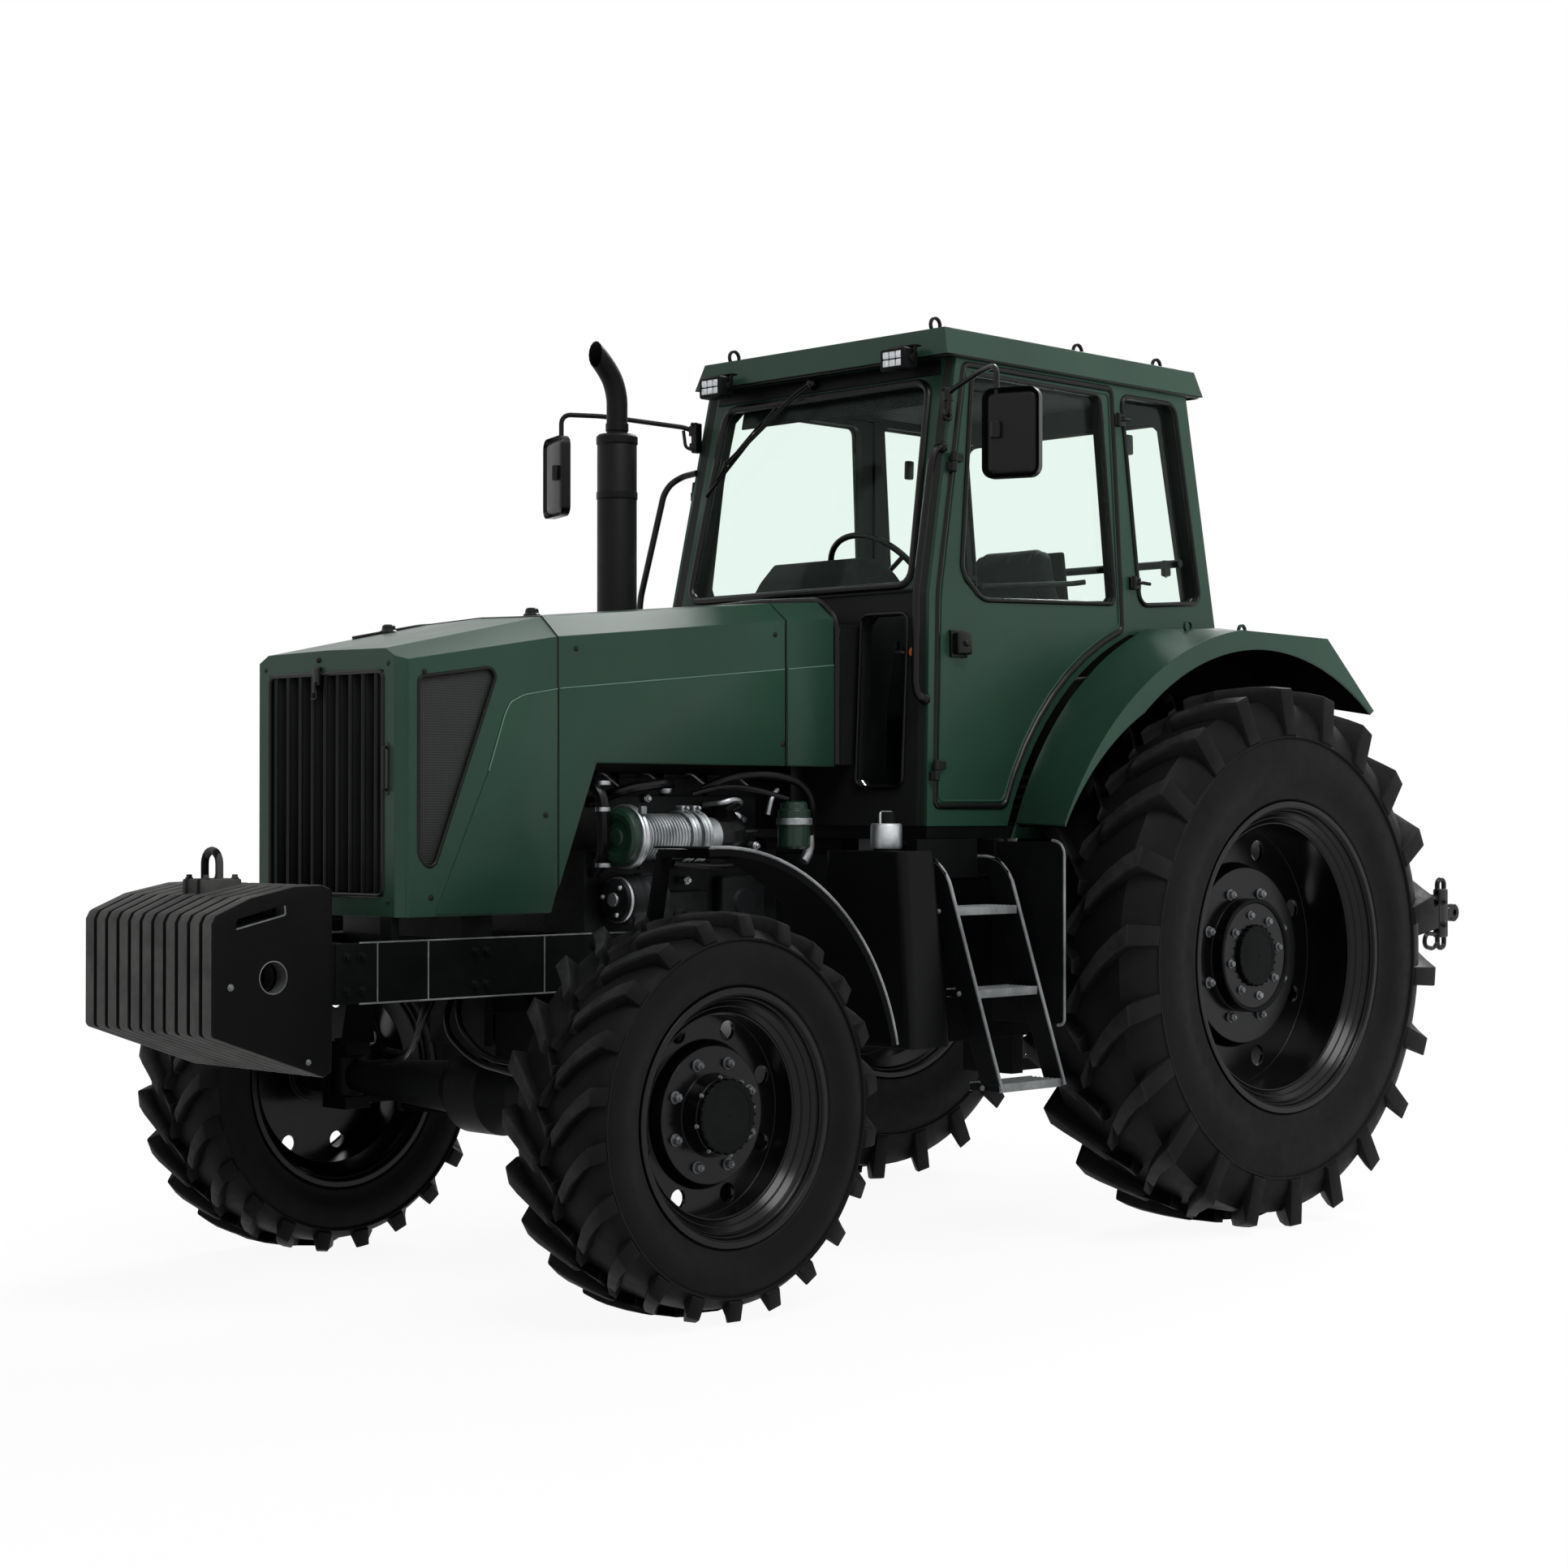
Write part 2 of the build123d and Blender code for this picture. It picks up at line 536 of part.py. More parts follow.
drawbar = block((-45, 45), (wheelbase - 250, drawbar_end), drawbar_z)
drawbar += block((-110, 110), (wheelbase + 180, wheelbase + 240), (drawbar_z[0], 600 - seat_gap))
drawbar += block((-110, 110), (wheelbase - 250, wheelbase - 190), (drawbar_z[0], 600 - seat_gap))
drawbar -= Pos(0, behind(drawbar_end - 50), drawbar_z[0]) * Cylinder(16.5, 200)
save("rear_housing", housing, drawbar)

# ---------------------------------------------------------------- rear linkage
pivot = Vector(0, behind(wheelbase + link_pivot_y), link_pivot_z)
link_end = Vector(0, behind(wheelbase + link_end_y), link_end_z)
rod_pin = pivot + (link_end - pivot) * rod_share
rock = Vector(0, behind(rockshaft_y), rockshaft_z)
arm_tip = rock + (rod_pin - pivot)
pin_x = link_pivot_x + (link_end_x - link_pivot_x) * rod_share


def eye(x, centre, outer, thick, bore=pin_r + seat_gap):
    return Pos(x, centre.Y, centre.Z) * Rot(0, 90, 0) * (Cylinder(outer, thick) - Cylinder(bore, 2 * thick))


link_thick = 30
link_depth = 70
direction = (link_end - pivot).normalized()


def bar(start, end, x_start, x_end, depth, thick):
    """A flat bar in a side view that also runs outwards from x_start to x_end."""
    along = (end - start).normalized()
    up = Vector(0, -along.Z, along.Y)
    faces = []
    for point, x in ((start, x_start), (end, x_end)):
        corners = [point + up * (depth / 2), point - up * (depth / 2)]
        outline = [(x - thick / 2, corners[0].Y, corners[0].Z), (x + thick / 2, corners[0].Y, corners[0].Z),
                   (x + thick / 2, corners[1].Y, corners[1].Z), (x - thick / 2, corners[1].Y, corners[1].Z)]
        faces.append(make_face(Polyline(*outline, close=True)))
    return loft(faces, ruled=True)


link = bar(pivot, link_end, link_pivot_x, link_end_x, link_depth, link_thick)
link += eye(link_pivot_x, pivot, 42, link_thick + 8)
link -= Pos(link_pivot_x, pivot.Y, pivot.Z) * Rot(0, 90, 0) * Cylinder(pin_r + seat_gap, 120)
link += rod((pin_x, rod_pin.Y, rod_pin.Z), (pin_x + 66, rod_pin.Y, rod_pin.Z), pin_r)
coupler_x = link_end_x + 30
coupler = side_plate([(wheelbase + link_end_y - 60, 880), (wheelbase + link_end_y + 60, 1010),
                      (wheelbase + rear_reach - 120, 1060), (wheelbase + rear_reach, 1060),
                      (wheelbase + rear_reach, 800), (wheelbase + rear_reach - 120, 800),
                      (wheelbase + link_end_y + 60, 830)], coupler_x, coupler_x + 28)
for z in (865, 995):
    coupler -= block((coupler_x - 20, coupler_x + 60), (wheelbase + rear_reach - 82,
        wheelbase + rear_reach - 42),
                     (z - 34, z + 34))
coupler += block((0, coupler_x + 2), (wheelbase + link_end_y + 110, wheelbase + link_end_y + 170), (900,
    960))
coupler += rod((link_end_x - 40, link_end.Y, link_end.Z), (coupler_x + 10, link_end.Y, link_end.Z), 30)
links = link + coupler
save("lower_links", links + mirrored(links))

lift_x = 263
lift_thick = 26
lift = bar(rock, arm_tip, lift_x, lift_x, 80, lift_thick)
lift += rod((172, rock.Y, rock.Z), (lift_x + lift_thick / 2, rock.Y, rock.Z), 52)
rods_x = lift_x + lift_thick / 2 + 15
rod_thick = 24
lift += rod((lift_x, arm_tip.Y, arm_tip.Z), (rods_x + 15, arm_tip.Y, arm_tip.Z), pin_r)
shaft = rod((-180, rock.Y, rock.Z), (180, rock.Y, rock.Z), 34)
save("lift_arms", lift + mirrored(lift) + shaft)

rod_foot_x = pin_x + 48
lift_rod = bar(arm_tip, rod_pin, rods_x, rod_foot_x, 34, rod_thick)
lift_rod += eye(rods_x, arm_tip, 30, rod_thick) + eye(rod_foot_x, rod_pin, 30, rod_thick)
for x, centre in ((rods_x, arm_tip), (rod_foot_x, rod_pin)):
    lift_rod -= Pos(x, centre.Y, centre.Z) * Rot(0, 90, 0) * Cylinder(pin_r + seat_gap, 3 * rod_thick)
save("lift_rods", lift_rod, mirrored(lift_rod))

# ---------------------------------------------------------------- cab


def side_x(z):
    """Outer face of the cab's side wall at a height."""
    return cab_half - (z - cab_floor_z) * math.tan(math.radians(cab_tilt))


lean_in = Pos(cab_half, 0, cab_floor_z) * Rot(0, -cab_tilt, 0) * Pos(0, 0, -cab_floor_z)


def wall_face(start, moves):
    """A side outline from (behind the rear axle, height) points; a move is a point or an arc (via, point)."""
    edges = []
    here = start
    for move in moves:
        if isinstance(move[0], tuple):
            via, there = move
            edges.append(ThreePointArc(here_point(here), here_point(via), here_point(there)))
        else:
            there = move
            edges.append(Line(here_point(here), here_point(there)))
        here = there
    return make_face(edges)


def here_point(point):
    return (behind(wheelbase + point[0]), point[1])


def wall(face, x_low, x_high):
    return lean_in * extrude(Plane.YZ.offset(x_low) * face, x_high - x_low, dir=(1, 0, 0))


side_face = wall_face((cab_front_low - wheelbase, cab_floor_z), [
    (-854, cab_floor_z), ((-584, 1708), (-206, 1940)), (cab_rear_low - wheelbase,
        1962), (cab_rear_top - wheelbase, cab_top_z),
    (cab_front_top - wheelbase, cab_top_z), (cab_front_sill - wheelbase,
        cab_sill_z), (cab_front_low - wheelbase, cab_floor_z)])
door_hole = wall_face((-1196, 1370), [
    (-864, 1370), ((-606, 1734), (-241, 1955)), (-266, 2756), (-1008, 2756), (-1156,
        cab_sill_z), (-1196, 1370)])
door_leaf = wall_face((-1196 + swing_gap, 1370 + swing_gap), [
    (-866 - 3, 1370 + swing_gap), ((-606 - 6, 1734 + 5), (-241 - swing_gap, 1955 + 4)),
    (-266 - swing_gap, 2756 - swing_gap), (-1008 + 3, 2756 - swing_gap), (-1156 + swing_gap, cab_sill_z),
    (-1196 + swing_gap, 1370 + swing_gap)])
door_window = wall_face((-946, 2018), [
    (-306, 2040), (-278, 2066), (-328, 2712), (-350, 2730), (-946, 2730), (-974, 2704), (-1046,
        2110), (-1028, 2070),
    (-946, 2018)])
quarter_hole = wall_face((-116, 2045), [
    (160, 2065), (188, 2092), (82, 2716), (60, 2740), (-196, 2740), (-214, 2722), (-146, 2070), (-116,
        2045)])

cab_span = (cab_front_low - 200, cab_rear_low + 200)
side_wall = wall(side_face, -cab_wall, 0) - wall(door_hole, -90, 90) - wall(quarter_hole, -90, 90)
side_wall -= block((0, 1000), cab_span, (cab_floor_z - 50, cab_floor_z))
side_wall -= block((0, 1000), cab_span, (cab_top_z, cab_top_z + 50))

door_thick = 38
leaf = wall(door_leaf, -door_thick, 0) - wall(door_window, -90, 90)
handle = lean_in * block((-2, 26), (wheelbase - 1094, wheelbase - 1044), (1846, 1904))
hinge_r = 11
hinge_low = (wheelbase - 1203, 1480)
hinge_high = (wheelbase - 1086, 2440)


def hinge_point(share, out=hinge_r + 7):
    y = hinge_low[0] + (hinge_high[0] - hinge_low[0]) * share
    z = hinge_low[1] + (hinge_high[1] - hinge_low[1]) * share
    return Vector(side_x(z) + out, behind(y), z)


hinge_axis = (hinge_point(1) - hinge_point(0)).normalized()
hinge_length = 62
leaf_straps = None
post_straps = None
for share in (0, 1):
    centre = hinge_point(share)
    low, middle, high = (centre + hinge_axis * (hinge_length * part) for part in (-0.5, 0, 0.5))
    knuckle_gap = hinge_axis * 1.0
    barrel = rod(tuple(middle + knuckle_gap), tuple(high), hinge_r)
    barrel -= rod(tuple(middle - knuckle_gap * 3), tuple(high + knuckle_gap * 5), 5 + seat_gap)
    plate = Pos(centre.X - 13, centre.Y + 38, centre.Z + 16) * Box(14, 28, 26)
    plate += Pos(centre.X - 4, centre.Y + 18, centre.Z + 16) * Box(8, 32, 26)
    leaf_part = barrel + plate - rod(tuple(low - hinge_axis * 40), tuple(high + hinge_axis * 40),
        5 + seat_gap)
    leaf_straps = leaf_part if leaf_straps is None else leaf_straps + leaf_part
    pin = rod(tuple(low), tuple(high - knuckle_gap), 5)
    lug = rod(tuple(low), tuple(middle - knuckle_gap), hinge_r)
    foot = Pos(centre.X - 12, centre.Y - 10, centre.Z - 17) * Box(22, 20, 24)
    post_part = pin + lug + foot
    post_straps = post_part if post_straps is None else post_straps + post_part
save_pair("door", leaf + handle + leaf_straps)
save_pair("cab_side", side_wall + post_straps)


def core(y_low, y_high, clearance):
    """The space between the side walls."""
    outline = []
    for side, height in ((-1, 1000), (1, 1000), (1, 3000), (-1, 3000)):
        outline.append((side
            * (side_x(height) - cab_wall / math.cos(math.radians(cab_tilt)) - clearance), height))
    return front_plate(outline, y_low, y_high)


def leaning_face(outline, foot_y, foot_z, lean, depth, inset=0):
    """A panel that leans back by lean degrees; the outline's points are (x, distance up the slope)."""
    panel = extrude(Plane.XZ.offset(-inset) * Polygon(*outline, align=None), depth, dir=(0, 1, 0))
    return Pos(0, behind(foot_y), foot_z) * Rot(-lean, 0, 0) * panel


def rounded(outline, radius):
    """Corner points of an outline with each corner cut at 45 degrees-like steps."""
    result = []
    count = len(outline)
    for number, corner in enumerate(outline):
        for neighbour in (outline[number - 1], outline[(number + 1) % count]):
            gap = Vector(neighbour[0] - corner[0], neighbour[1] - corner[1])
            step = gap.normalized() * radius
            result.append((corner[0] + step.X, corner[1] + step.Y))
    return result


front_frame_depth = 50
low_lean = math.degrees(math.atan2(cab_front_sill - cab_front_low, cab_sill_z - cab_floor_z))
low_height = math.hypot(cab_front_sill - cab_front_low, cab_sill_z - cab_floor_z)
top_lean = math.degrees(math.atan2(cab_front_top - cab_front_sill, cab_top_z - cab_sill_z))
top_height = math.hypot(cab_front_top - cab_front_sill, cab_top_z - cab_sill_z)
wide = cab_half + 60
screen_low, screen_high = cab_half - 105, cab_half - 147
screen_bottom, screen_top = 26, 690
lower_panel = leaning_face([(-wide, 0), (wide, 0), (wide, low_height), (-wide, low_height)],
                           cab_front_low, cab_floor_z, low_lean, front_frame_depth)
screen_panel = leaning_face([(-wide, 0), (wide, 0), (wide, top_height), (-wide, top_height)],
                            cab_front_sill, cab_sill_z, top_lean, front_frame_depth)
screen_outline = rounded([(-screen_low, screen_bottom), (screen_low, screen_bottom), (screen_high,
    screen_top),
                          (-screen_high, screen_top)], 30)
pane_x = (300, cab_half - 107)
pane_outline = rounded([(pane_x[0], 120), (pane_x[1], 120), (pane_x[1], 660), (pane_x[0], 660)], 26)
screen_hole = leaning_face(screen_outline, cab_front_sill, cab_sill_z, top_lean, 200, -60)
pane_hole = leaning_face(pane_outline, cab_front_low, cab_floor_z, low_lean, 200, -60)
front_wall = (lower_panel
    + screen_panel - screen_hole - pane_hole - mirrored(pane_hole)) & core(*cab_span, 0.6)
front_wall -= block((-900, 900), cab_span, (cab_floor_z - 50, cab_floor_z))
front_wall -= block((-900, 900), cab_span, (cab_top_z, cab_top_z + 50))
save("cab_front", front_wall + cowl)

glass_inset = 22


def pane(outline, foot_y, foot_z, lean):
    centre = Vector(sum(p[0] for p in outline) / len(outline), sum(p[1] for p in outline) / len(outline))
    shrunk = []
    for x, z in outline:
        gap = Vector(x, z) - centre
        short = gap * (1 - 1.2 * seat_gap / gap.length)
        shrunk.append((centre.X + short.X, centre.Y + short.Y))
    return leaning_face(shrunk, foot_y, foot_z, lean, glass_thick, glass_inset)


windscreen = pane(screen_outline, cab_front_sill, cab_sill_z, top_lean)
lower_pane = pane(pane_outline, cab_front_low, cab_floor_z, low_lean)


def side_glass(outline_face, x_low):
    shrunk = offset(outline_face, -seat_gap)
    return wall(shrunk, x_low, x_low + glass_thick)


quarter_glass = side_glass(quarter_hole, -28)
door_glass = side_glass(door_window, -28)
save_pair("door_glass", door_glass)

rear_slope = math.degrees(math.atan2(cab_rear_low - cab_rear_top, cab_top_z - 1962))
rear_panel = leaning_face([(-wide, 0), (wide, 0), (wide, 830), (-wide, 830)], cab_rear_low - 42, 1962,
    -rear_slope, 40)
rear_low, rear_high = cab_half - 125, cab_half - 155
rear_outline = rounded([(-rear_low, 90), (rear_low, 90), (rear_high, 740), (-rear_high, 740)], 30)
rear_hole = leaning_face(rear_outline, cab_rear_low - 42, 1962, -rear_slope, 260, -120)
rear_lower = block((-wide, wide), (cab_rear_low - 42, cab_rear_low - 2), (cab_floor_z, 1962 + 4))
rear_wall = ((rear_panel + rear_lower - rear_hole) & core(*cab_span, 0.6)) - block(
    (-900, 900), cab_span, (cab_top_z, 3000))
save("cab_rear", rear_wall)
rear_glass = leaning_face([(x * 0.9993, 415 + (z - 415) * 0.9991) for x, z in rear_outline],
                          cab_rear_low - 42, 1962, -rear_slope, glass_thick, 17)
save("cab_glass", windscreen, lower_pane, mirrored(lower_pane), quarter_glass, mirrored(quarter_glass),
    rear_glass)

floor_thick = 40
floor = block((-cab_half + 4, cab_half - 4), (cab_front_low + 2, cab_rear_low - 4),
              (cab_floor_z - floor_thick, cab_floor_z - seat_gap))
mounts = [(wheelbase - 1156, 1220), (wheelbase + 114, housing_top)]  # front edge, what it stands on
for low, under in mounts:
    floor += block((-170, 170), (low, low + 80), (under + seat_gap, cab_floor_z - 10))
save("cab_floor", floor)

roof_low = Plane.XY.offset(cab_top_z + seat_gap) * Pos(0, behind((roof_front + roof_rear) / 2)) * Rectangle(
    2 * roof_half, roof_rear - roof_front)
roof_high = Plane.XY.offset(cab_top_z + roof_height) * Pos(0,
    behind((roof_front + 20 + roof_rear - 14) / 2)) * Rectangle(
    2 * (roof_half - 28), roof_rear - roof_front - 34)
roof = loft([roof_low, roof_high], ruled=True)
roof_liner = Plane.XY.offset(cab_top_z - 5) * Pos(0, behind((roof_front + roof_rear) / 2)) * Rectangle(
    2 * (roof_half - 85), roof_rear - roof_front - 260)
roof -= extrude(roof_liner, 55)
for x, y in ((455, -1026), (-455, -1026), (455, -316), (455, 114), (-455, 114)):
    roof += lifting_eye(x, wheelbase + y, cab_top_z + roof_height, turned=90)
save("roof", roof)

# ---------------------------------------------------------------- rear fenders
fender_inner_x, fender_outer_x = cab_half + 7, rear_wheel.centre_x + 84
fender_thick = 8


def fender_section(x, points, thick):
    """A fender's closed section: arc, two straights and the same inset; (behind the rear axle, height)."""
    front, via, crest, back, tip = [Vector(behind(y), z) for y, z in from_rear(points)]
    centre = Vector(rear_axle_y, rear_axle_z)

    def inward(point):
        return point + (centre - point).normalized() * thick

    inner = [inward(p) for p in (front, via, crest, back, tip)]
    edges = [ThreePointArc(front, via, crest), Line(crest, back), Line(back, tip), Line(tip, inner[4]),
             Line(inner[4], inner[3]), Line(inner[3], inner[2]), ThreePointArc(inner[2], inner[1],
                 inner[0]),
             Line(inner[0], front)]
    return Plane.YZ.offset(x) * make_face(edges)


inner_edge = [(-824, 1318), (-556, 1712), (-146, 1962), (254, 1984), (564, 1760)]
outer_edge = [(-998, 1311), (-646, 1718), (-89, 1944), (404, 1937), (684, 1700)]
fender = loft([fender_section(fender_inner_x, inner_edge, fender_thick),
               fender_section(fender_outer_x, outer_edge, fender_thick)], ruled=True)
lip_low = [(-991, 1318), (-606, 1662), (-146, 1882), (354, 1832), (664, 1690)]


def outwards(point, distance):
    """A point of the fender moved away from the rear axle."""
    gap = Vector(point[0], point[1] - rear_axle_z)
    return (point[0] + gap.normalized().X * distance, point[1] + gap.normalized().Y * distance)


lip_proud = 2
lip_top = [here_point(outwards(p, lip_proud)) for p in outer_edge]
lip = [here_point(p) for p in lip_low]
lip_face = make_face([
    ThreePointArc(*lip_top[:3]), Line(lip_top[2], lip_top[3]), Line(lip_top[3],
        lip_top[4]), Line(lip_top[4], lip[4]),
    ThreePointArc(lip[4], here_point((-26, 1884)), lip[1]), ThreePointArc(lip[1], here_point((-806,
        1530)), lip[0]),
    Line(lip[0], lip_top[0])])
fender += extrude(Plane.YZ.offset(fender_outer_x - 3) * lip_face, 6, dir=(1, 0, 0))
inner_wall = side_plate(from_rear([(-846, cab_floor_z - floor_thick), (294, cab_floor_z - floor_thick),
    (294, 1960),
                                   (-146, 1955), (-556, 1705), (-824,
                                       1312)]), fender_inner_x - 4, fender_inner_x + 4)
fender += inner_wall
fender += block((cab_half - 4 + seat_gap, fender_inner_x), (wheelbase - 766, wheelbase + 194),
                (cab_floor_z - floor_thick, cab_floor_z - 8))
for y in (-116, 184):
    fender += lifting_eye(760, wheelbase + y, 1948, 22, 90)
save_pair("rear_fender", fender)

# ---------------------------------------------------------------- tank, battery box, steps, mud flaps
tank_x = (430, 800)
tank_back = wheelbase - 1338  # just ahead of the steps
tank_y = (tank_back - 180, tank_back)
tank_z = (655, 1236)
tank_corner = min(28, (tank_y[1] - tank_y[0]) / 3 - 10)
tank_low = Plane.XY.offset(tank_z[0]) * Pos((tank_x[0] + tank_x[1]) / 2,
    behind(sum(tank_y) / 2)) * RectangleRounded(
    tank_x[1] - tank_x[0], tank_y[1] - tank_y[0], tank_corner)
tank_high = Plane.XY.offset(tank_z[1]) * Pos((tank_x[0] + tank_x[1] - 50) / 2,
    behind(sum(tank_y) / 2)) * RectangleRounded(
    tank_x[1] - tank_x[0] - 50, tank_y[1] - tank_y[0] - 26, tank_corner)
tank_body = loft([tank_low, tank_high], ruled=True)
tank_body += block((rail_half + seat_gap, tank_x[0] + 30), (tank_y[0] + 20, tank_y[0] + 90), (880, 980))
filler_x, filler_y = sum(tank_x) / 2, behind(sum(tank_y) / 2)
filler = Pos(filler_x, filler_y, tank_z[1] + 37) * Cylinder(40, 90)
filler += Pos(filler_x, filler_y, tank_z[1] + 96) * Cylinder(26, 44)
save("fuel_tank", tank_body + filler)
save("battery_box", mirrored(tank_body))

step_y = (wheelbase - 1306, wheelbase - 1016)
rail_top = (cab_half + 130, 1190)
rail_foot = (cab_half + 345, 545)
step_sheet = 12
step_z = (1066, 822, 548)
steps = None
for y in step_y:
    outline = [(rail_top[0] - 150, rail_top[1] + 22), (rail_top[0] - 30, rail_top[1] + 22),
        (rail_top[0] + 14, rail_top[1] - 20),
               (rail_foot[0] + 14, rail_foot[1]), (rail_foot[0] - 60, rail_foot[1]), (rail_top[0] - 66,
                   rail_top[1] - 30),
               (rail_top[0] - 150, rail_top[1] - 30)]
    rail = front_plate(outline, y - step_sheet / 2, y + step_sheet / 2)
    steps = rail if steps is None else steps + rail
for z in step_z:
    share = (rail_top[1] - z) / (rail_top[1] - rail_foot[1])
    x = rail_top[0] + (rail_foot[0] - rail_top[0]) * share
    steps += block((x - 110, x + 6), step_y, (z - 22, z - 2))
hanger = block((rail_top[0] - 150, rail_top[0] - 110), (step_y[0] + 6, step_y[1] - 6), (1150,
    cab_floor_z - floor_thick - seat_gap))
steps += hanger
flap_y = wheelbase - 968
flap = front_plate([(640, 1262), (900, 1262), (925, 1250), (925, 705), (640, 705)], flap_y, flap_y + 6)
flap += block((540, 655), (flap_y - 8, flap_y + 14), (1215, cab_floor_z - floor_thick - seat_gap))
save("steps", steps, mirrored(steps), flap, mirrored(flap))

# ---------------------------------------------------------------- inside the cab
seat_y = wheelbase - 46  # middle of the seat's back
seat = block((-230, 230), (seat_y - 440, seat_y), (1760, 1860))
seat += block((-200, 200), (seat_y - 400, seat_y - 40), (1560, 1762))
seat += Pos(0, behind(seat_y), 2070) * Rot(-8, 0, 0) * Box(430, 90, 450)
seat += block((-170, 170), (seat_y - 380, seat_y - 60), (cab_floor_z, 1565))
dash_half = 230
dash = side_plate(from_rear([(-1178, 1500), (-1116, 2095), (-1046, 2128), (-956, 2110), (-886, 2010),
    (-886, 1960),
                             (-1016, 1880), (-1086, 1500), (-1086, cab_floor_z), (-1156,
                                 cab_floor_z)]), -dash_half, dash_half)
column_low = (wheelbase - 986, 1960)
column_top = (wheelbase - 818, 2098)
dash += rod((0, behind(column_low[0]), column_low[1]), (0, behind(column_top[0]), column_top[1]), 26)
save("cab_inside", seat, dash & block((-300, 300), (wheelbase - 1138, wheelbase - 746), (1000, 2400)))
wheel_axis = Vector(0, column_top[0] - column_low[0], column_top[1] - column_low[1]).normalized()
hub_low = Vector(0, behind(column_top[0]), column_top[1]) + wheel_axis * seat_gap
hub_high = hub_low + wheel_axis * 40
steering = rod(tuple(hub_low), tuple(hub_high), 36)
ring_plane = Plane(origin=hub_low + wheel_axis * 28, z_dir=wheel_axis)
steering += ring_plane * (Pos(0, 0, -9) * extrude(Circle(200) - Circle(180), 18))
for turn in (90, 210, 330):
    steering += ring_plane * Rot(0, 0, turn) * Pos(104, 0, 0) * Box(168, 26, 10)
save("steering_wheel", steering)

# ---------------------------------------------------------------- mirrors, handrails, wiper, lamps
mirror_turn = 20
arm_r = 9


def front_edge(z):
    """How far behind the front axle the cab's front corner is, above the sill and below it."""
    if z > cab_sill_z:
        return cab_front_sill + (z - cab_sill_z) * (cab_front_top - cab_front_sill) / (cab_top_z - cab_sill_z)
    return cab_front_low + (z - cab_floor_z) * (cab_front_sill - cab_front_low) / (cab_sill_z - cab_floor_z)


def round_bar(points, radius):
    """Straight round bars joined end to end."""
    shape = None
    for start, end in zip(points, points[1:]):
        piece = rod(tuple(start), tuple(end), radius)
        shape = piece if shape is None else shape + piece
        if end is not points[-1]:
            shape += Pos(*end) * Sphere(radius)
    return shape


foot_z = 2620
mirror_head = Box(178, 24, 268)
mirror_head = fillet(mirror_head.edges().filter_by(Axis.Y), 34)


def mirror_arm(x, y, z, turn):
    """Foot on the front corner, bent arm and head; y is behind the front axle."""
    foot = Pos(side_x(foot_z) - 16, behind(front_edge(foot_z)) - 16, foot_z) * Box(30, 52, 100)
    stem = (x - 45, behind(y - 18))
    points = [(side_x(foot_z) - 8, behind(front_edge(foot_z)) - 30, foot_z + 20), (*stem, 2700), (*stem,
        2420)]
    head = Pos(x, behind(y), z) * Rot(0, 0, turn) * mirror_head
    head += Pos(x - 45, behind(y - 18), z + 10) * Box(34, 40, 40)
    return (foot - side_wall) + round_bar(points, arm_r) + head


left_mirror = mirror_arm(900, wheelbase - 1180, 2490, mirror_turn)
right_mirror = mirrored(mirror_arm(925, wheelbase - 1411, 2490, mirror_turn))
rail_low, rail_high = 1700, 2490


def rail_point(z, out):
    return (side_x(z) - 22, behind(front_edge(z)) - out, z)


handrail = round_bar([rail_point(rail_high, 2), rail_point(rail_high, 46), rail_point(cab_sill_z, 46),
                      rail_point(rail_low, 46), rail_point(rail_low, 2)], 11) - side_wall

lamp_x = cab_half - 193
lamp = block((lamp_x - 50, lamp_x + 50), (roof_front - 75, roof_front - 25), (2735, 2800))
lamp += block((lamp_x - 12, lamp_x + 12), (roof_front - 29, roof_front - 1), (2745, 2778))
lamp += block((lamp_x - 30, lamp_x + 30), (roof_front - 12, roof_front + 30), (2762, cab_top_z))
save("cab_fittings", left_mirror, right_mirror, handrail, mirrored(handrail), lamp, mirrored(lamp))
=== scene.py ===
import math

import bpy
from mathutils import Matrix, Vector


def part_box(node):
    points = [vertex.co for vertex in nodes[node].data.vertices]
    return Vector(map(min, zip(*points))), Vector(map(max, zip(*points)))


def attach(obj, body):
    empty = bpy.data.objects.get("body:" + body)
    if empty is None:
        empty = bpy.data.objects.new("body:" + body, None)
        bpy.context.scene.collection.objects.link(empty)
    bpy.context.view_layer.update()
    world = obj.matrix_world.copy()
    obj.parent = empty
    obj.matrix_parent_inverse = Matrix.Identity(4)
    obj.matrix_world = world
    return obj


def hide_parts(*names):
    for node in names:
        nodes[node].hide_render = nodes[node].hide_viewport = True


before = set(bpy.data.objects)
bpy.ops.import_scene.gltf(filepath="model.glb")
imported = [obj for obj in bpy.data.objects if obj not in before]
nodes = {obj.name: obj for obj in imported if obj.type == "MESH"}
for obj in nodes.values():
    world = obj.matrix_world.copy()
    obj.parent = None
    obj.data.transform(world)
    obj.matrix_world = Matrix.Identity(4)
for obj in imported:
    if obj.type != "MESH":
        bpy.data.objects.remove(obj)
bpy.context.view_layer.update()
print("frame loaded:", len(nodes), "nodes")

frontHub = sum(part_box("front_tyre_left"), Vector()) / 2
rearHub = sum(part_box("rear_tyre_left"), Vector()) / 2
axleY = frontHub.y  # every length below is behind the front axle


# small modelling tools; a plain (across, back, up) row is measured from the front axle
def place(across, back, up):
    return Vector((across, axleY + back, up))


def spot(point):
    return point.copy() if isinstance(point, Vector) else place(*point)


def deselect():
    if bpy.context.object and bpy.context.object.mode != "OBJECT":
        bpy.ops.object.mode_set(mode="OBJECT")
    bpy.ops.object.select_all(action="DESELECT")


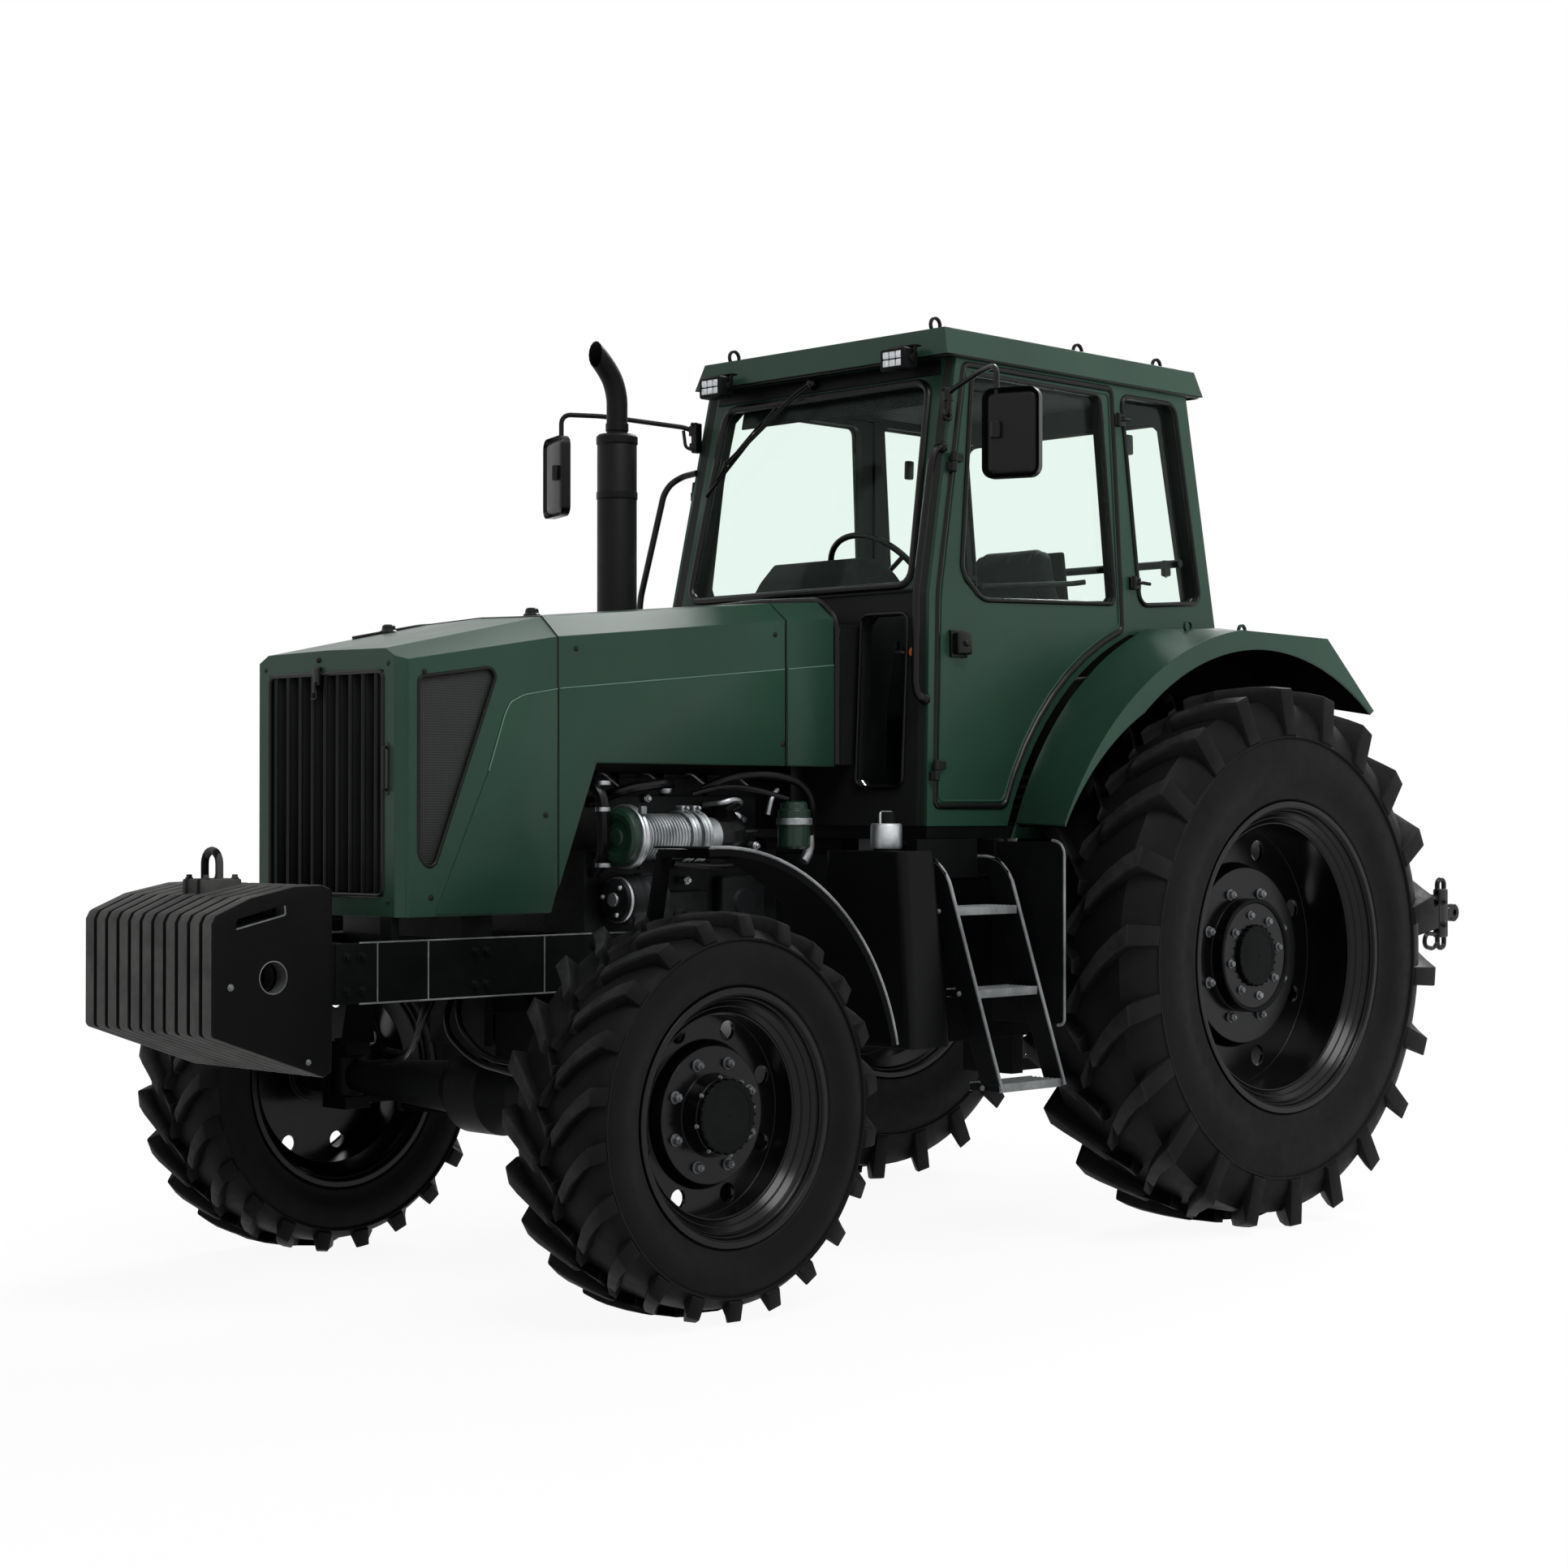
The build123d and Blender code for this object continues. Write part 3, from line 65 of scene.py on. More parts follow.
def grab(*objs):
    deselect()
    for obj in objs:
        obj.select_set(True)
    bpy.context.view_layer.objects.active = objs[0]
    return objs[0]


def pick(action="SELECT"):
    bpy.ops.mesh.select_all(action=action)


def edit(obj, action="SELECT"):
    grab(obj)
    bpy.ops.object.mode_set(mode="EDIT")
    pick(action)


def done(obj):
    bpy.ops.object.mode_set(mode="OBJECT")
    return obj


def modified(obj, kind, **settings):
    grab(obj)
    change = obj.modifiers.new(kind.lower(), kind)
    for key, value in settings.items():
        setattr(change, key, value)
    bpy.ops.object.modifier_apply(modifier=change.name)
    return obj


def settle(obj):
    grab(obj)
    bpy.ops.object.transform_apply(location=True, rotation=True, scale=True)
    return obj


def pushed(shift):
    bpy.ops.mesh.extrude_region_move(TRANSFORM_OT_translate={"value": shift})


def block(low, high, edge=0.003, steps=2):
    # a box between two corners, with its edges rounded
    low, high = spot(low), spot(high)
    deselect()
    bpy.ops.mesh.primitive_cube_add(size=1, location=(low + high) / 2)
    obj = bpy.context.object
    obj.scale = [abs(v) for v in high - low]
    settle(obj)
    if edge:
        edit(obj)
        bpy.ops.mesh.bevel(offset=edge, segments=steps, affect="EDGES")
        done(obj)
    return obj


def drawn(points):
    # a line of edges through the points, drawn by extruding one vertex
    points = [spot(p) for p in points]
    deselect()
    bpy.ops.mesh.primitive_plane_add(size=0.01, location=points[0])
    obj = bpy.context.object
    settle(obj)
    edit(obj)
    bpy.ops.mesh.merge(type="CENTER")
    for a, b in zip(points, points[1:]):
        pushed(b - a)
    pick()
    return obj


def slab(points, push, edge=0, corner=0, steps=4):
    # a flat outline, its corners rounded, pushed out to a thickness
    obj = drawn(points)
    bpy.ops.mesh.edge_face_add()
    if corner:
        bpy.ops.mesh.bevel(offset=corner, segments=steps, affect="VERTICES")
        pick()
    pushed(Vector(push))
    pick()
    bpy.ops.mesh.normals_make_consistent(inside=False)
    if edge:
        pick("DESELECT")
        done(obj)
        return modified(obj, "BEVEL", width=edge, segments=2, limit_method="ANGLE")
    return done(obj)


def tube(points, radius, bend=0.0, closed=False, sides=3):
    # a round bar or hose through the points
    points = [spot(p) for p in points]
    if closed:
        points = [(points[0] + points[-1]) / 2] + points
    obj = drawn(points)
    if closed:
        pick("DESELECT")
        done(obj)
        obj.data.vertices[0].select = obj.data.vertices[len(obj.data.vertices) - 1].select = True
        bpy.ops.object.mode_set(mode="EDIT")
        bpy.ops.mesh.edge_face_add()
        pick()
    if bend:
        bpy.ops.mesh.bevel(offset=bend, segments=5, affect="VERTICES", clamp_overlap=True)
    done(obj)
    grab(obj)
    bpy.ops.object.convert(target="CURVE")
    obj = bpy.context.object
    obj.data.bevel_depth = radius
    obj.data.bevel_resolution = sides
    obj.data.use_fill_caps = True
    bpy.ops.object.convert(target="MESH")
    return bpy.context.object


def lathe(profile, centre, axis="X", steps=64):
    # profile rows are (along the axis, radius)
    along = Vector([letter == axis for letter in "XYZ"] if isinstance(axis, str) else axis).normalized()
    out = along.orthogonal().normalized()
    centre = spot(centre)
    obj = drawn([centre + along * a + out * r for a, r in profile])
    bpy.ops.mesh.spin(steps=steps, angle=2 * math.pi, center=centre, axis=along)
    pick()
    bpy.ops.mesh.remove_doubles(threshold=0.00005)
    bpy.ops.mesh.normals_make_consistent(inside=False)
    return done(obj)


def disc(centre, axis, radius, length, edge=0.002, steps=32):
    half = length / 2
    return lathe(
        [
            (-half, 0), (-half, radius - edge), (-half + edge, radius), (half - edge, radius),
            (half, radius - edge), (half, 0)
        ],
        centre, axis, steps
    )


def boltHead(centre, axis, radius=0.012, height=0.01):
    # hexagon head on a washer
    along = Vector(axis).normalized()
    centre = spot(centre)
    washer = disc(centre + along * 0.0015, along, radius * 1.35, 0.003, 0.0008, 16)
    rows = [(0, radius), (height * 0.8, radius), (height, radius * 0.8), (height, 0)]
    return joined([washer, lathe(rows, centre + along * 0.003, along, 6)])


def joined(parts):
    if isinstance(parts, bpy.types.Object):
        return settle(parts)
    grab(*parts)
    if len(parts) > 1:
        bpy.ops.object.join()
    return settle(bpy.context.object)


def twinOf(obj, move):
    # a copy with its own mesh, moved by a matrix
    twin = obj.copy()
    twin.data = obj.data.copy()
    bpy.context.scene.collection.objects.link(twin)
    twin.data.transform(move)
    if move.determinant() < 0:
        twin.data.flip_normals()
    return twin


def copied(obj, moves, keep=False):
    # one finished shape copied by each matrix
    made = [twinOf(obj, move) for move in moves]
    if keep:
        return joined([obj] + made)
    bpy.data.objects.remove(obj)
    return joined(made)


def turned(centre, axis, degrees):
    centre = Vector(centre)
    return Matrix.Translation(centre) @ Matrix.Rotation(
        math.radians(degrees), 4, axis
    ) @ Matrix.Translation(-centre)


def moved(x=0, y=0, z=0):
    return Matrix.Translation((x, y, z))


flip = Matrix.Scale(-1, 4, (1, 0, 0))


def both(parts):
    # the left shape and its mirror image as one piece
    return copied(joined(parts), [flip], keep=True)


def pair(parts):
    # the left shape and its mirror image as two pieces
    obj = joined(parts)
    return (("left", obj), ("right", twinOf(obj, flip)))


def finished(parts, name, material, body="chassis", replaces=(), smooth=32):
    obj = joined(parts)
    obj.name = obj.data.name = name
    grab(obj)
    bpy.ops.object.shade_smooth_by_angle(angle=math.radians(smooth))
    obj.data.materials.clear()
    obj.data.materials.append(material)
    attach(obj, body)
    if replaces:
        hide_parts(*replaces)
    return obj


# shader tools: a signal is a socket that can be reckoned with
def reckoned(kind, swap=False):
    return lambda self, other: self.math(kind, other, swap)


class Signal:
    def __init__(self, board, socket):
        self.board, self.socket = board, socket

    def math(self, kind, other, swap=False):
        pair = (other, self) if swap else (self, other)
        return self.board.add("Math", {"operation": kind}, dict(enumerate(pair)))

    __add__ = __radd__ = reckoned("ADD")
    __sub__ = reckoned("SUBTRACT")
    __rsub__ = reckoned("SUBTRACT", True)
    __mul__ = __rmul__ = reckoned("MULTIPLY")
    __truediv__ = reckoned("DIVIDE")
    __pow__ = reckoned("POWER")
    __gt__ = reckoned("GREATER_THAN")
    __lt__ = reckoned("LESS_THAN")


class Board:
    # one material and its nodes
    def __init__(self, name, **sockets):
        self.material = bpy.data.materials.new(name)
        self.material.use_nodes = True
        self.tree = self.material.node_tree
        self.shader = self.tree.nodes["Principled BSDF"]
        for socket, value in sockets.items():
            self.set(socket.replace("_", " "), value)
        self.place = self.add("TexCoord", out="Object")

    def plug(self, value, socket):
        if isinstance(value, Signal):
            self.tree.links.new(value.socket, socket)
        else:
            socket.default_value = value

    def set(self, socket, value):
        self.plug(value, self.shader.inputs[socket])

    def add(self, kind, settings=None, inputs=None, out=0):
        node = self.tree.nodes.new("ShaderNode" + kind)
        for key, value in (settings or {}).items():
            if key == "stops":
                ramp = node.color_ramp
                while len(ramp.elements) < len(value):
                    ramp.elements.new(0.5)
                for stop, (where, grey) in zip(ramp.elements, value):
                    stop.position, stop.color = where, (grey, grey, grey, 1)
            else:
                setattr(node, key, value)
        for key, value in (inputs or {}).items():
            self.plug(value, node.inputs[key])
        return Signal(self, node.outputs[out])

    def noise(self, scale, detail=4.0, rough=0.55):
        return self.add(
            "TexNoise", {}, {"Vector": self.place, "Scale": scale, "Detail": detail, "Roughness": rough}
        )

    def wave(self, signal):
        return self.add("Math", {"operation": "SINE"}, {0: signal})

    def ramp(self, value, *stops):
        return self.add("ValToRGB", {"stops": stops}, {0: value})

    def spread(self, dark, light, scale=1.7, detail=3, low=0.3, high=0.7, rough=0.55):
        # two colours that drift into each other
        return self.mix(self.ramp(self.noise(scale, detail, rough), (low, 0), (high, 1)), dark, light)

    def mix(self, share, a, b):
        return self.add("Mix", {"data_type": "RGBA"}, {0: share, 6: a, 7: b}, out=2)

    def part(self, axis):
        return self.add("SeparateXYZ", {}, {0: self.place}, out="XYZ".index(axis))

    def bump(self, height, strength=0.3, distance=0.002, normal=None):
        inputs = {"Height": height, "Strength": strength, "Distance": distance}
        if normal:
            inputs["Normal"] = normal
        return self.add("Bump", {}, inputs)

    def grain(self, scale, detail, strength, distance=0.001, edge=None):
        # fine noise in the surface, over edges softened to a radius
        soft = self.add("Bevel", {"samples": 4}, {"Radius": edge}) if edge else None
        return self.bump(self.noise(scale, detail), strength, distance, soft)

    def finish(self, colour, rough, normal):
        for socket, value in (("Base Color", colour), ("Roughness", rough), ("Normal", normal)):
            self.set(socket, value)
        return self.material


def tone(red, green, blue, alpha=1.0):
    # a display colour, 0 to 255, as the shader wants it
    def line(v):
        v /= 255
        return v / 12.92 if v < 0.04045 else ((v + 0.055) / 1.055) ** 2.4
    return (line(red), line(green), line(blue), alpha)


def satinPaint(name, dark, light, rough=0.36, orangePeel=0.04, edge=0.006, shine=0.3):
    # sprayed paint with slow colour drift, fine orange peel and dulled patches
    b = Board(name, Specular_IOR_Level=shine)
    return b.finish(
        b.spread(dark, light), rough + 0.1 * (b.noise(6, 5) - 0.5), b.grain(420, 2, orangePeel, edge=edge)
    )


def shellPaint(name, dark, light, masks, shine=0.2, rough=0.34):
    # body colour outside; each mask takes over where it is 1, with its own colour
    b = Board(name, Specular_IOR_Level=shine)
    colour, matt = b.spread(dark, light), 0.0
    for share, shade in masks(b):
        colour = b.mix(share, colour, shade)
        matt = matt + share * 0.3
    return b.finish(colour, rough + 0.1 * (b.noise(6, 5) - 0.5) + matt, b.grain(420, 2, 0.04, edge=0.005))


def castPaint(name, dark, light, rough=0.55, grain=0.35, edge=0.004, level=0.12):
    # rough painted iron or steel, with dusty patches at random
    b = Board(name, Specular_IOR_Level=level)
    return b.finish(
        b.spread(dark, light, 5, 8, 0.42, 0.75, 0.65), rough + 0.25 * (b.noise(12, 6) - 0.5),
        b.grain(260, 4, grain, 0.0015, edge)
    )


def rubberTyre(name, hub, tipRadius, lugHeight):
    # near-black rubber, greyer and scuffed where the lugs meet the ground
    b = Board(name, Specular_IOR_Level=0.07)
    up, back = b.part("Z") - hub.z, b.part("Y") - hub.y
    radius = (up * up + back * back) ** 0.5
    paleMarks = b.ramp((radius - (tipRadius - lugHeight)) / lugHeight, (0.55, 0), (1.0, 1))
    scuff = b.ramp(b.noise(14, 8, 0.7), (0.35, 0.15), (0.7, 1))
    dusty = b.spread(tone(10, 11, 10), tone(18, 19, 18), 4, 6, 0.35, 0.75)
    ringed = b.bump(b.wave(radius * 900) * (1 - paleMarks), 0.04, 0.001)
    return b.finish(
        b.mix(paleMarks * scuff * 0.7, dusty, tone(52, 54, 52)), 0.42 + 0.3 * b.noise(22, 5),
        b.bump(b.noise(180, 6), 0.25, 0.0015, ringed)
    )


def ironPaint(name, pitch=0.0556, face=0.36):
    # cast weights: grey faces, with a near-black painted shade on each plate beyond its face, down its
    # sides towards the gaps
    b = Board(name, Specular_IOR_Level=0.08)
    step = b.part("X") / pitch
    off = step - b.add("Math", {"operation": "ROUND"}, {0: step})
    # painted shade: the part of each plate beyond its face, where the gaps lie
    outer = (off * off) ** 0.5 > face
    faces = b.spread(tone(52, 53, 52), tone(80, 81, 79), 7, 8, 0.35, 0.7, 0.65)
    return b.finish(
        b.mix(outer, faces, tone(6, 7, 6)), 0.55 + 0.2 * b.noise(25, 6),
        b.grain(240, 5, 0.55, 0.0016, 0.004)
    )


def fenderPaint(name, radius=0.7125):
    # satin black skin; inside the radius the underside gets a painted shade, near-black and matt
    b = Board(name, Specular_IOR_Level=0.1)
    up, back = b.part("Z") - frontHub.z, b.part("Y") - frontHub.y
    # painted shade: everything nearer the axle than the radius
    under = (up * up + back * back) ** 0.5 < radius
    return b.finish(
        b.mix(under, b.spread(tone(9, 9, 10), tone(15, 16, 16)), tone(4, 4, 4)),
        0.36 + 0.1 * b.noise(6, 5) + under * 0.55, b.grain(420, 2, 0.08, edge=0.004)
    )


def bareMetal(name):
    b = Board(name, Metallic=1.0)
    return b.finish(
        b.spread(tone(120, 124, 126), tone(205, 208, 210), 9, 7, 0.35),
        0.28 + 0.3 * b.noise(30, 5), b.grain(220, 4, 0.25, edge=0.003)
    )


def paneGlass(name):
    b = Board(name)
    tree = b.tree
    clear = tree.nodes.new("ShaderNodeBsdfTransparent")
    clear.inputs[0].default_value = tone(249, 253, 251)
    shine = tree.nodes.new("ShaderNodeBsdfGlossy")
    shine.inputs["Color"].default_value = tone(232, 244, 240)
    shine.inputs["Roughness"].default_value = 0.02
    blend = tree.nodes.new("ShaderNodeMixShader")
    share = b.add("Fresnel", {}, {"IOR": 1.18}) * 0.3
    for number, socket in enumerate((share.socket, clear.outputs[0], shine.outputs[0])):
        tree.links.new(socket, blend.inputs[number])
    tree.links.new(blend.outputs[0], tree.nodes["Material Output"].inputs[0])
    return b.material


def meshPaint(name):
    # fine woven wire over a painted shade, near-black between the wires, standing for the hollow behind
    b = Board(name, Specular_IOR_Level=0.3)
    wires = [b.ramp(b.wave(b.part(axis) * 900), (0.55, 0), (0.85, 1)) for axis in "YZ"]
    wire = b.add("Math", {"operation": "MAXIMUM"}, dict(enumerate(wires)))
    return b.finish(
        b.mix(wire * 0.8, tone(4, 4, 4), tone(44, 46, 46)), 0.45 + 0.2 * b.noise(20, 3), b.bump(wire, 0.5)
    )


def clothPaint(name, dark, light):
    # woven seat cloth: fine crossing threads, paler in random patches
    b = Board(name, Sheen_Weight=0.25, Specular_IOR_Level=0.2)
    weave = b.wave(b.part("X") * 2200) * b.wave((b.part("Y") + b.part("Z")) * 2200)
    return b.finish(
        b.spread(dark, light, 7, 6, 0.35, 0.7, 0.6), 0.8 + 0.1 * b.noise(30, 3),
        b.bump(weave, 0.35, 0.0012, b.grain(60, 5, 0.15, 0.002))
    )


def plainFinish(name, colour, rough, **sockets):
    b = Board(name, **sockets)
    return b.finish(
        b.spread(colour, [c * 0.8 for c in colour[:3]] + [1], 30, 3, 0.4), rough, b.grain(300, 2, 0.05)
    )


green = (tone(26, 51, 40), tone(32, 60, 48))
shade = {"lining": tone(24, 26, 26), "black": tone(12, 13, 13)}
bodyGreen = satinPaint("forestGreen", *green, rough=0.34, edge=0.005, shine=0.2)
# painted highlight: a paler green for the bright line along the pressed folds
foldHighlightGreen = satinPaint("foldHighlightGreen", tone(72, 104, 90), tone(92, 124, 110), rough=0.25, shine=0.4)
filterGreen = satinPaint("filterGreen", tone(18, 38, 29), tone(25, 48, 38), rough=0.3)
glossBlack = satinPaint("rimBlack", tone(5, 5, 6), tone(9, 9, 10), rough=0.22, shine=0.2)
tankBlack = satinPaint(
    "fenderBlack", tone(8, 8, 9), tone(13, 14, 14), rough=0.38, orangePeel=0.08, shine=0.08
)
frameBlack = castPaint("chassisCharcoal", tone(8, 9, 9), tone(17, 18, 18), rough=0.45, level=0.05)
bareBlack = castPaint("blackPlastic", tone(8, 9, 9), tone(14, 15, 15), rough=0.5, grain=0.2, level=0.08)
sealRubber = castPaint(
    "sealRubber", tone(7, 7, 8), tone(12, 12, 13), rough=0.3, grain=0.06, edge=0.002, level=0.2
)
liningGrey = castPaint("cabLining", tone(22, 24, 24), tone(34, 36, 36), rough=0.7, grain=0.6)
engineDark = castPaint("engineIron", tone(11, 12, 13), tone(32, 34, 35), rough=0.45, grain=0.5, level=0.14)
stackBlack = castPaint("exhaustBlack", tone(9, 9, 10), tone(16, 16, 16), rough=0.5, grain=0.25)
# painted shade: near-black, almost without gloss, for the sheets under the rear fenders
linerShadeBlack = castPaint("linerShadeBlack", tone(5, 5, 5), tone(9, 9, 9), rough=0.95, grain=0.2, level=0.02)
zincNut = castPaint("zincNut", tone(60, 62, 64), tone(120, 122, 124), rough=0.35, grain=0.3, level=0.5)
# pale metal: bare from wear on the step treads, a painted highlight on the strips along rail, frame and
# fender edges
wearAndHighlightEdge = castPaint("wearAndHighlightEdge", tone(88, 91, 92), tone(150, 153, 154), rough=0.4, grain=0.2, level=0.4)
weightFaces = ironPaint("weightFaces")
frontFenderBlack = fenderPaint("frontFenderBlack")
silver = bareMetal("castSilver")
windowGlass = paneGlass("tintedGlass")
ventMesh = meshPaint("ventMesh")
seatCloth = clothPaint("seatCloth", tone(26, 29, 29), tone(40, 44, 44))
lensWhite = plainFinish("lampLens", tone(238, 241, 244), 0.2)
amber = plainFinish("amberLens", tone(225, 110, 30), 0.25, Coat_Weight=0.5)
mirrorFace = plainFinish("mirrorFace", tone(190, 196, 200), 0.05, Metallic=1.0)

# cab: sizes, and where its inner faces are
cab = {
    "half": 0.605, "floor": 1.309, "sill": 2.03, "top": 2.778, "tilt": math.radians(1.9), "frontLow": 1.213,
    "frontSill": 1.25, "frontTop": 1.405, "rearLow": 2.724, "rearTop": 2.59, "rearSill": 1.962
}


def wallDepth(b, skin=0.012):
    # 1 deeper than the skin behind the leaning side walls
    across = (b.part("X") * b.part("X")) ** 0.5
    face = cab["half"] + cab["floor"] * math.tan(cab["tilt"]) - b.part("Z") * math.tan(cab["tilt"])
    return across < face - skin


def sideMasks(b):
    # dark lining inside; handles and hinges, which stand proud of the wall, are black
    proud = 1 - wallDepth(b, -0.0025)
    return [(wallDepth(b), shade["lining"]), (proud, shade["black"])]


def frontMasks(b):
    slope = (cab["frontTop"] - cab["frontSill"]) / (cab["top"] - cab["sill"])
    plane = b.part("Z") * slope + (axleY + cab["frontSill"] - cab["sill"] * slope)
    inner = (b.part("Y") > plane + 0.012) * wallDepth(b)
    under = (b.part("Z") < cab["sill"] + 0.001) * (b.part("Y") > axleY + 1.085)
    return [(inner, shade["lining"]), (under, shade["black"])]


def rearMasks(b):
    slope = (cab["rearTop"] - cab["rearLow"]) / (cab["top"] - cab["rearSill"])
    leaning = b.part("Z") * slope + (axleY + cab["rearLow"] - cab["rearSill"] * slope)
    plane = b.add("Math", {"operation": "MINIMUM"}, {0: leaning, 1: axleY + cab["rearLow"]})
    return [((b.part("Y") < plane - 0.012) * wallDepth(b), shade["lining"])]


def roofMasks(b):
    return [(b.part("Z") < 2.7795, shade["lining"]), (b.part("Z") > 2.868, shade["black"])]


cabSides = shellPaint("cabSideGreen", *green, sideMasks)
cabFront = shellPaint("cabFrontGreen", *green, frontMasks)
cabRear = shellPaint("cabRearGreen", *green, rearMasks)
cabRoof = shellPaint("cabRoofGreen", *green, roofMasks)

# finishes of the CAD nodes
nodePaint = {
    bodyGreen: ["bonnet_nose", "bonnet_top", "rear_fender_left", "rear_fender_right"],
    cabSides: ["cab_side_left", "cab_side_right", "door_left", "door_right"],
    cabFront: ["cab_front"], cabRear: ["cab_rear"], cabRoof: ["roof"],
    glossBlack: ["front_rim_left", "front_rim_right", "rear_rim_left", "rear_rim_right"],
    frontFenderBlack: ["front_fender_left", "front_fender_right"],
    tankBlack: ["fuel_tank", "battery_box"],
    frameBlack: [
        "front_axle", "knuckle_left", "knuckle_right", "tie_rod", "front_frame", "rear_housing",
        "lower_links", "front_weights", "lift_arms", "lift_rods", "cab_floor"
    ],
    bareBlack: ["grille", "steps", "cab_fittings"],
    liningGrey: ["cab_inside", "steering_wheel"],
    engineDark: ["engine"], silver: ["engine_fittings"], stackBlack: ["exhaust"],
    windowGlass: ["cab_glass", "door_glass_left", "door_glass_right"]
}
for paint, names in nodePaint.items():
    for name in names:
        mesh = nodes[name].data
        mesh.materials.clear()
        mesh.materials.append(paint)
print("CAD finishes set")

# tyres
tyreSizes = {
    "front": {
        "hub": frontHub, "tip": 0.545, "lug": 0.032, "width": 0.36, "flange": 0.344, "count": 22,
        "ridge": 0.474, "lugTop": 0.018, "lugFoot": 0.027, "sweep": 0.19, "bead": 0.146
    },
    "rear": {
        "hub": rearHub, "tip": 0.882, "lug": 0.046, "width": 0.46, "flange": 0.505, "count": 22,
        "ridge": 0.715, "lugTop": 0.024, "lugFoot": 0.037, "sweep": 0.25, "bead": 0.2
    }
}


def carcass(t):
    crown, flange, ridge = t["tip"] - t["lug"], t["flange"], t["ridge"]
    half, rise, drop = t["width"] / 2, ridge - flange, crown - ridge
    rows = [
        (t["bead"] - 0.004, flange - 0.024), (t["bead"], flange + 0.002),
        (t["bead"] + 0.008, flange + 0.004), (t["bead"] + 0.014, flange + 0.01),
        (t["bead"] + 0.015, flange + 0.017), (half - 0.017, flange + rise * 0.24),
        (half - 0.006, flange + rise * 0.4), (half - 0.001, flange + rise * 0.58),
        (half - 0.002, flange + rise * 0.76), (half - 0.008, flange + rise * 0.92),
        (half - 0.01, ridge - 0.006), (half - 0.004, ridge - 0.003), (half - 0.003, ridge + 0.002),
        (half - 0.009, ridge + 0.006), (half - 0.016, ridge + drop * 0.3),
        (half - 0.036, ridge + drop * 0.66), (half - 0.07, crown - 0.006), (half * 0.45, crown), (0, crown)
    ]
    profile = [(-x, r) for x, r in rows[:-1]] + [(x, r) for x, r in reversed(rows)]
    return lathe(profile + [profile[0]], t["hub"], "X", 110)


def lugBar(t):
    # stations from the middle of the tread to the flat end face that drops to the shoulder's ridge:
    # across, swept back, top and foot radius, half width at top and foot, how far the foot is tucked in
    tip, crown, half, ridge = t["tip"], t["tip"] - t["lug"], t["width"] / 2, t["ridge"]
    sweep, top, foot = t["sweep"], t["lugTop"], t["lugFoot"]
    rows = [
        (-0.014, -0.03 * sweep, tip - 0.004, crown - 0.012, top * 0.8, foot * 0.85, 0),
        (0.24 * half, 0.3 * sweep, tip, crown - 0.012, top * 0.95, foot, 0),
        (0.5 * half, 0.56 * sweep, tip, crown - 0.012, top, foot, 0),
        (0.74 * half, 0.74 * sweep, tip - 0.002, crown - 0.03, top * 1.15, foot * 1.05, 0.01),
        (half - 0.014, 0.86 * sweep, tip - 0.009, (crown + ridge) / 2 - 0.02, top * 1.3, foot * 1.1, 0.04),
        (half + 0.0005, 0.9 * sweep, ridge + 0.01, ridge - 0.004, top * 1.45, foot * 1.1, 0.016)
    ]
    hub = t["hub"]

    def corner(across, back, radius):
        angle = back / crown
        return Vector((hub.x + across, hub.y + radius * math.sin(angle), hub.z + radius * math.cos(angle)))
    rings = []
    for across, back, high, base, w, f, tuck in rows:
        rings.append([
            corner(across - tuck, back - f, base), corner(across, back - w, high),
            corner(across, back + w, high), corner(across - tuck, back + f, base)
        ])
    obj = drawn(rings[0])
    bpy.ops.mesh.edge_face_add()
    for a, b in zip(rings, rings[1:]):
        pushed(b[0] - a[0])
    done(obj)
    for number, ring in enumerate(rings[1:]):
        for v, where in zip(list(obj.data.vertices)[4 + number * 4:8 + number * 4], ring):
            v.co = where
    edit(obj)
    bpy.ops.mesh.normals_make_consistent(inside=False)
    done(obj)
    return modified(obj, "BEVEL", width=0.003, segments=2, limit_method="ANGLE", angle_limit=0.5)


for end, t in tyreSizes.items():
    lug = lugBar(t)
    pitch = 360 / t["count"]
    hub = t["hub"]
    across = moved(x=hub.x) @ flip @ moved(x=-hub.x)
    turns = [turned(hub, "X", n * pitch) for n in range(t["count"])]
    turns += [turned(hub, "X", (n + 0.5) * pitch) @ across for n in range(t["count"])]
    tyre = joined([carcass(t), copied(lug, turns)])
    rubber = rubberTyre(end + "Rubber", hub, t["tip"], t["lug"])
    for side, obj in pair(tyre):
        finished(
            obj, f"{end}_tread_{side}", rubber, f"{end}_wheel_{side}", [f"{end}_tyre_{side}"], 28
        )
print("tyres done")

# wheel centres: nuts, hub covers, and the rolled rings of the rim's barrel
hubDress = {
    "front": {
        "ring": 0.146, "nut": 0.013, "face": 0.062, "cap": 0.098, "capFace": 0.11, "inner": 0.106,
        "small": 0.005, "half": 0.16
    },
    "rear": {
        "ring": 0.216, "nut": 0.014, "face": 0.034, "cap": 0.098, "capFace": 0.072, "inner": 0.134,
        "small": 0.011, "half": 0.215
    }
}
hubPaint = {"nuts": zincNut, "hub_cap": frameBlack, "rim_rings": glossBlack}
barrelBeads = [
    (0.005, 0.018, 0.0035), (0.018, 0.0245, 0.003), (0.034, 0.032, 0.005), (0.052, 0.05, 0.004),
    (0.07, 0.068, 0.006)
]


def rolled(along, radius, size):
    # half-round bead on the inside of a barrel
    return [
        (along - size, radius), (along - 0.7 * size, radius - 0.7 * size), (along, radius - size),
        (along + 0.7 * size, radius - 0.7 * size), (along + size, radius), (along - size, radius)
    ]


def ringOf(obj, centre, count, axis="X", start=0.0):
    # a shape copied round an axis
    return copied(obj, [turned(centre, axis, start + n * 360 / count) for n in range(count)])


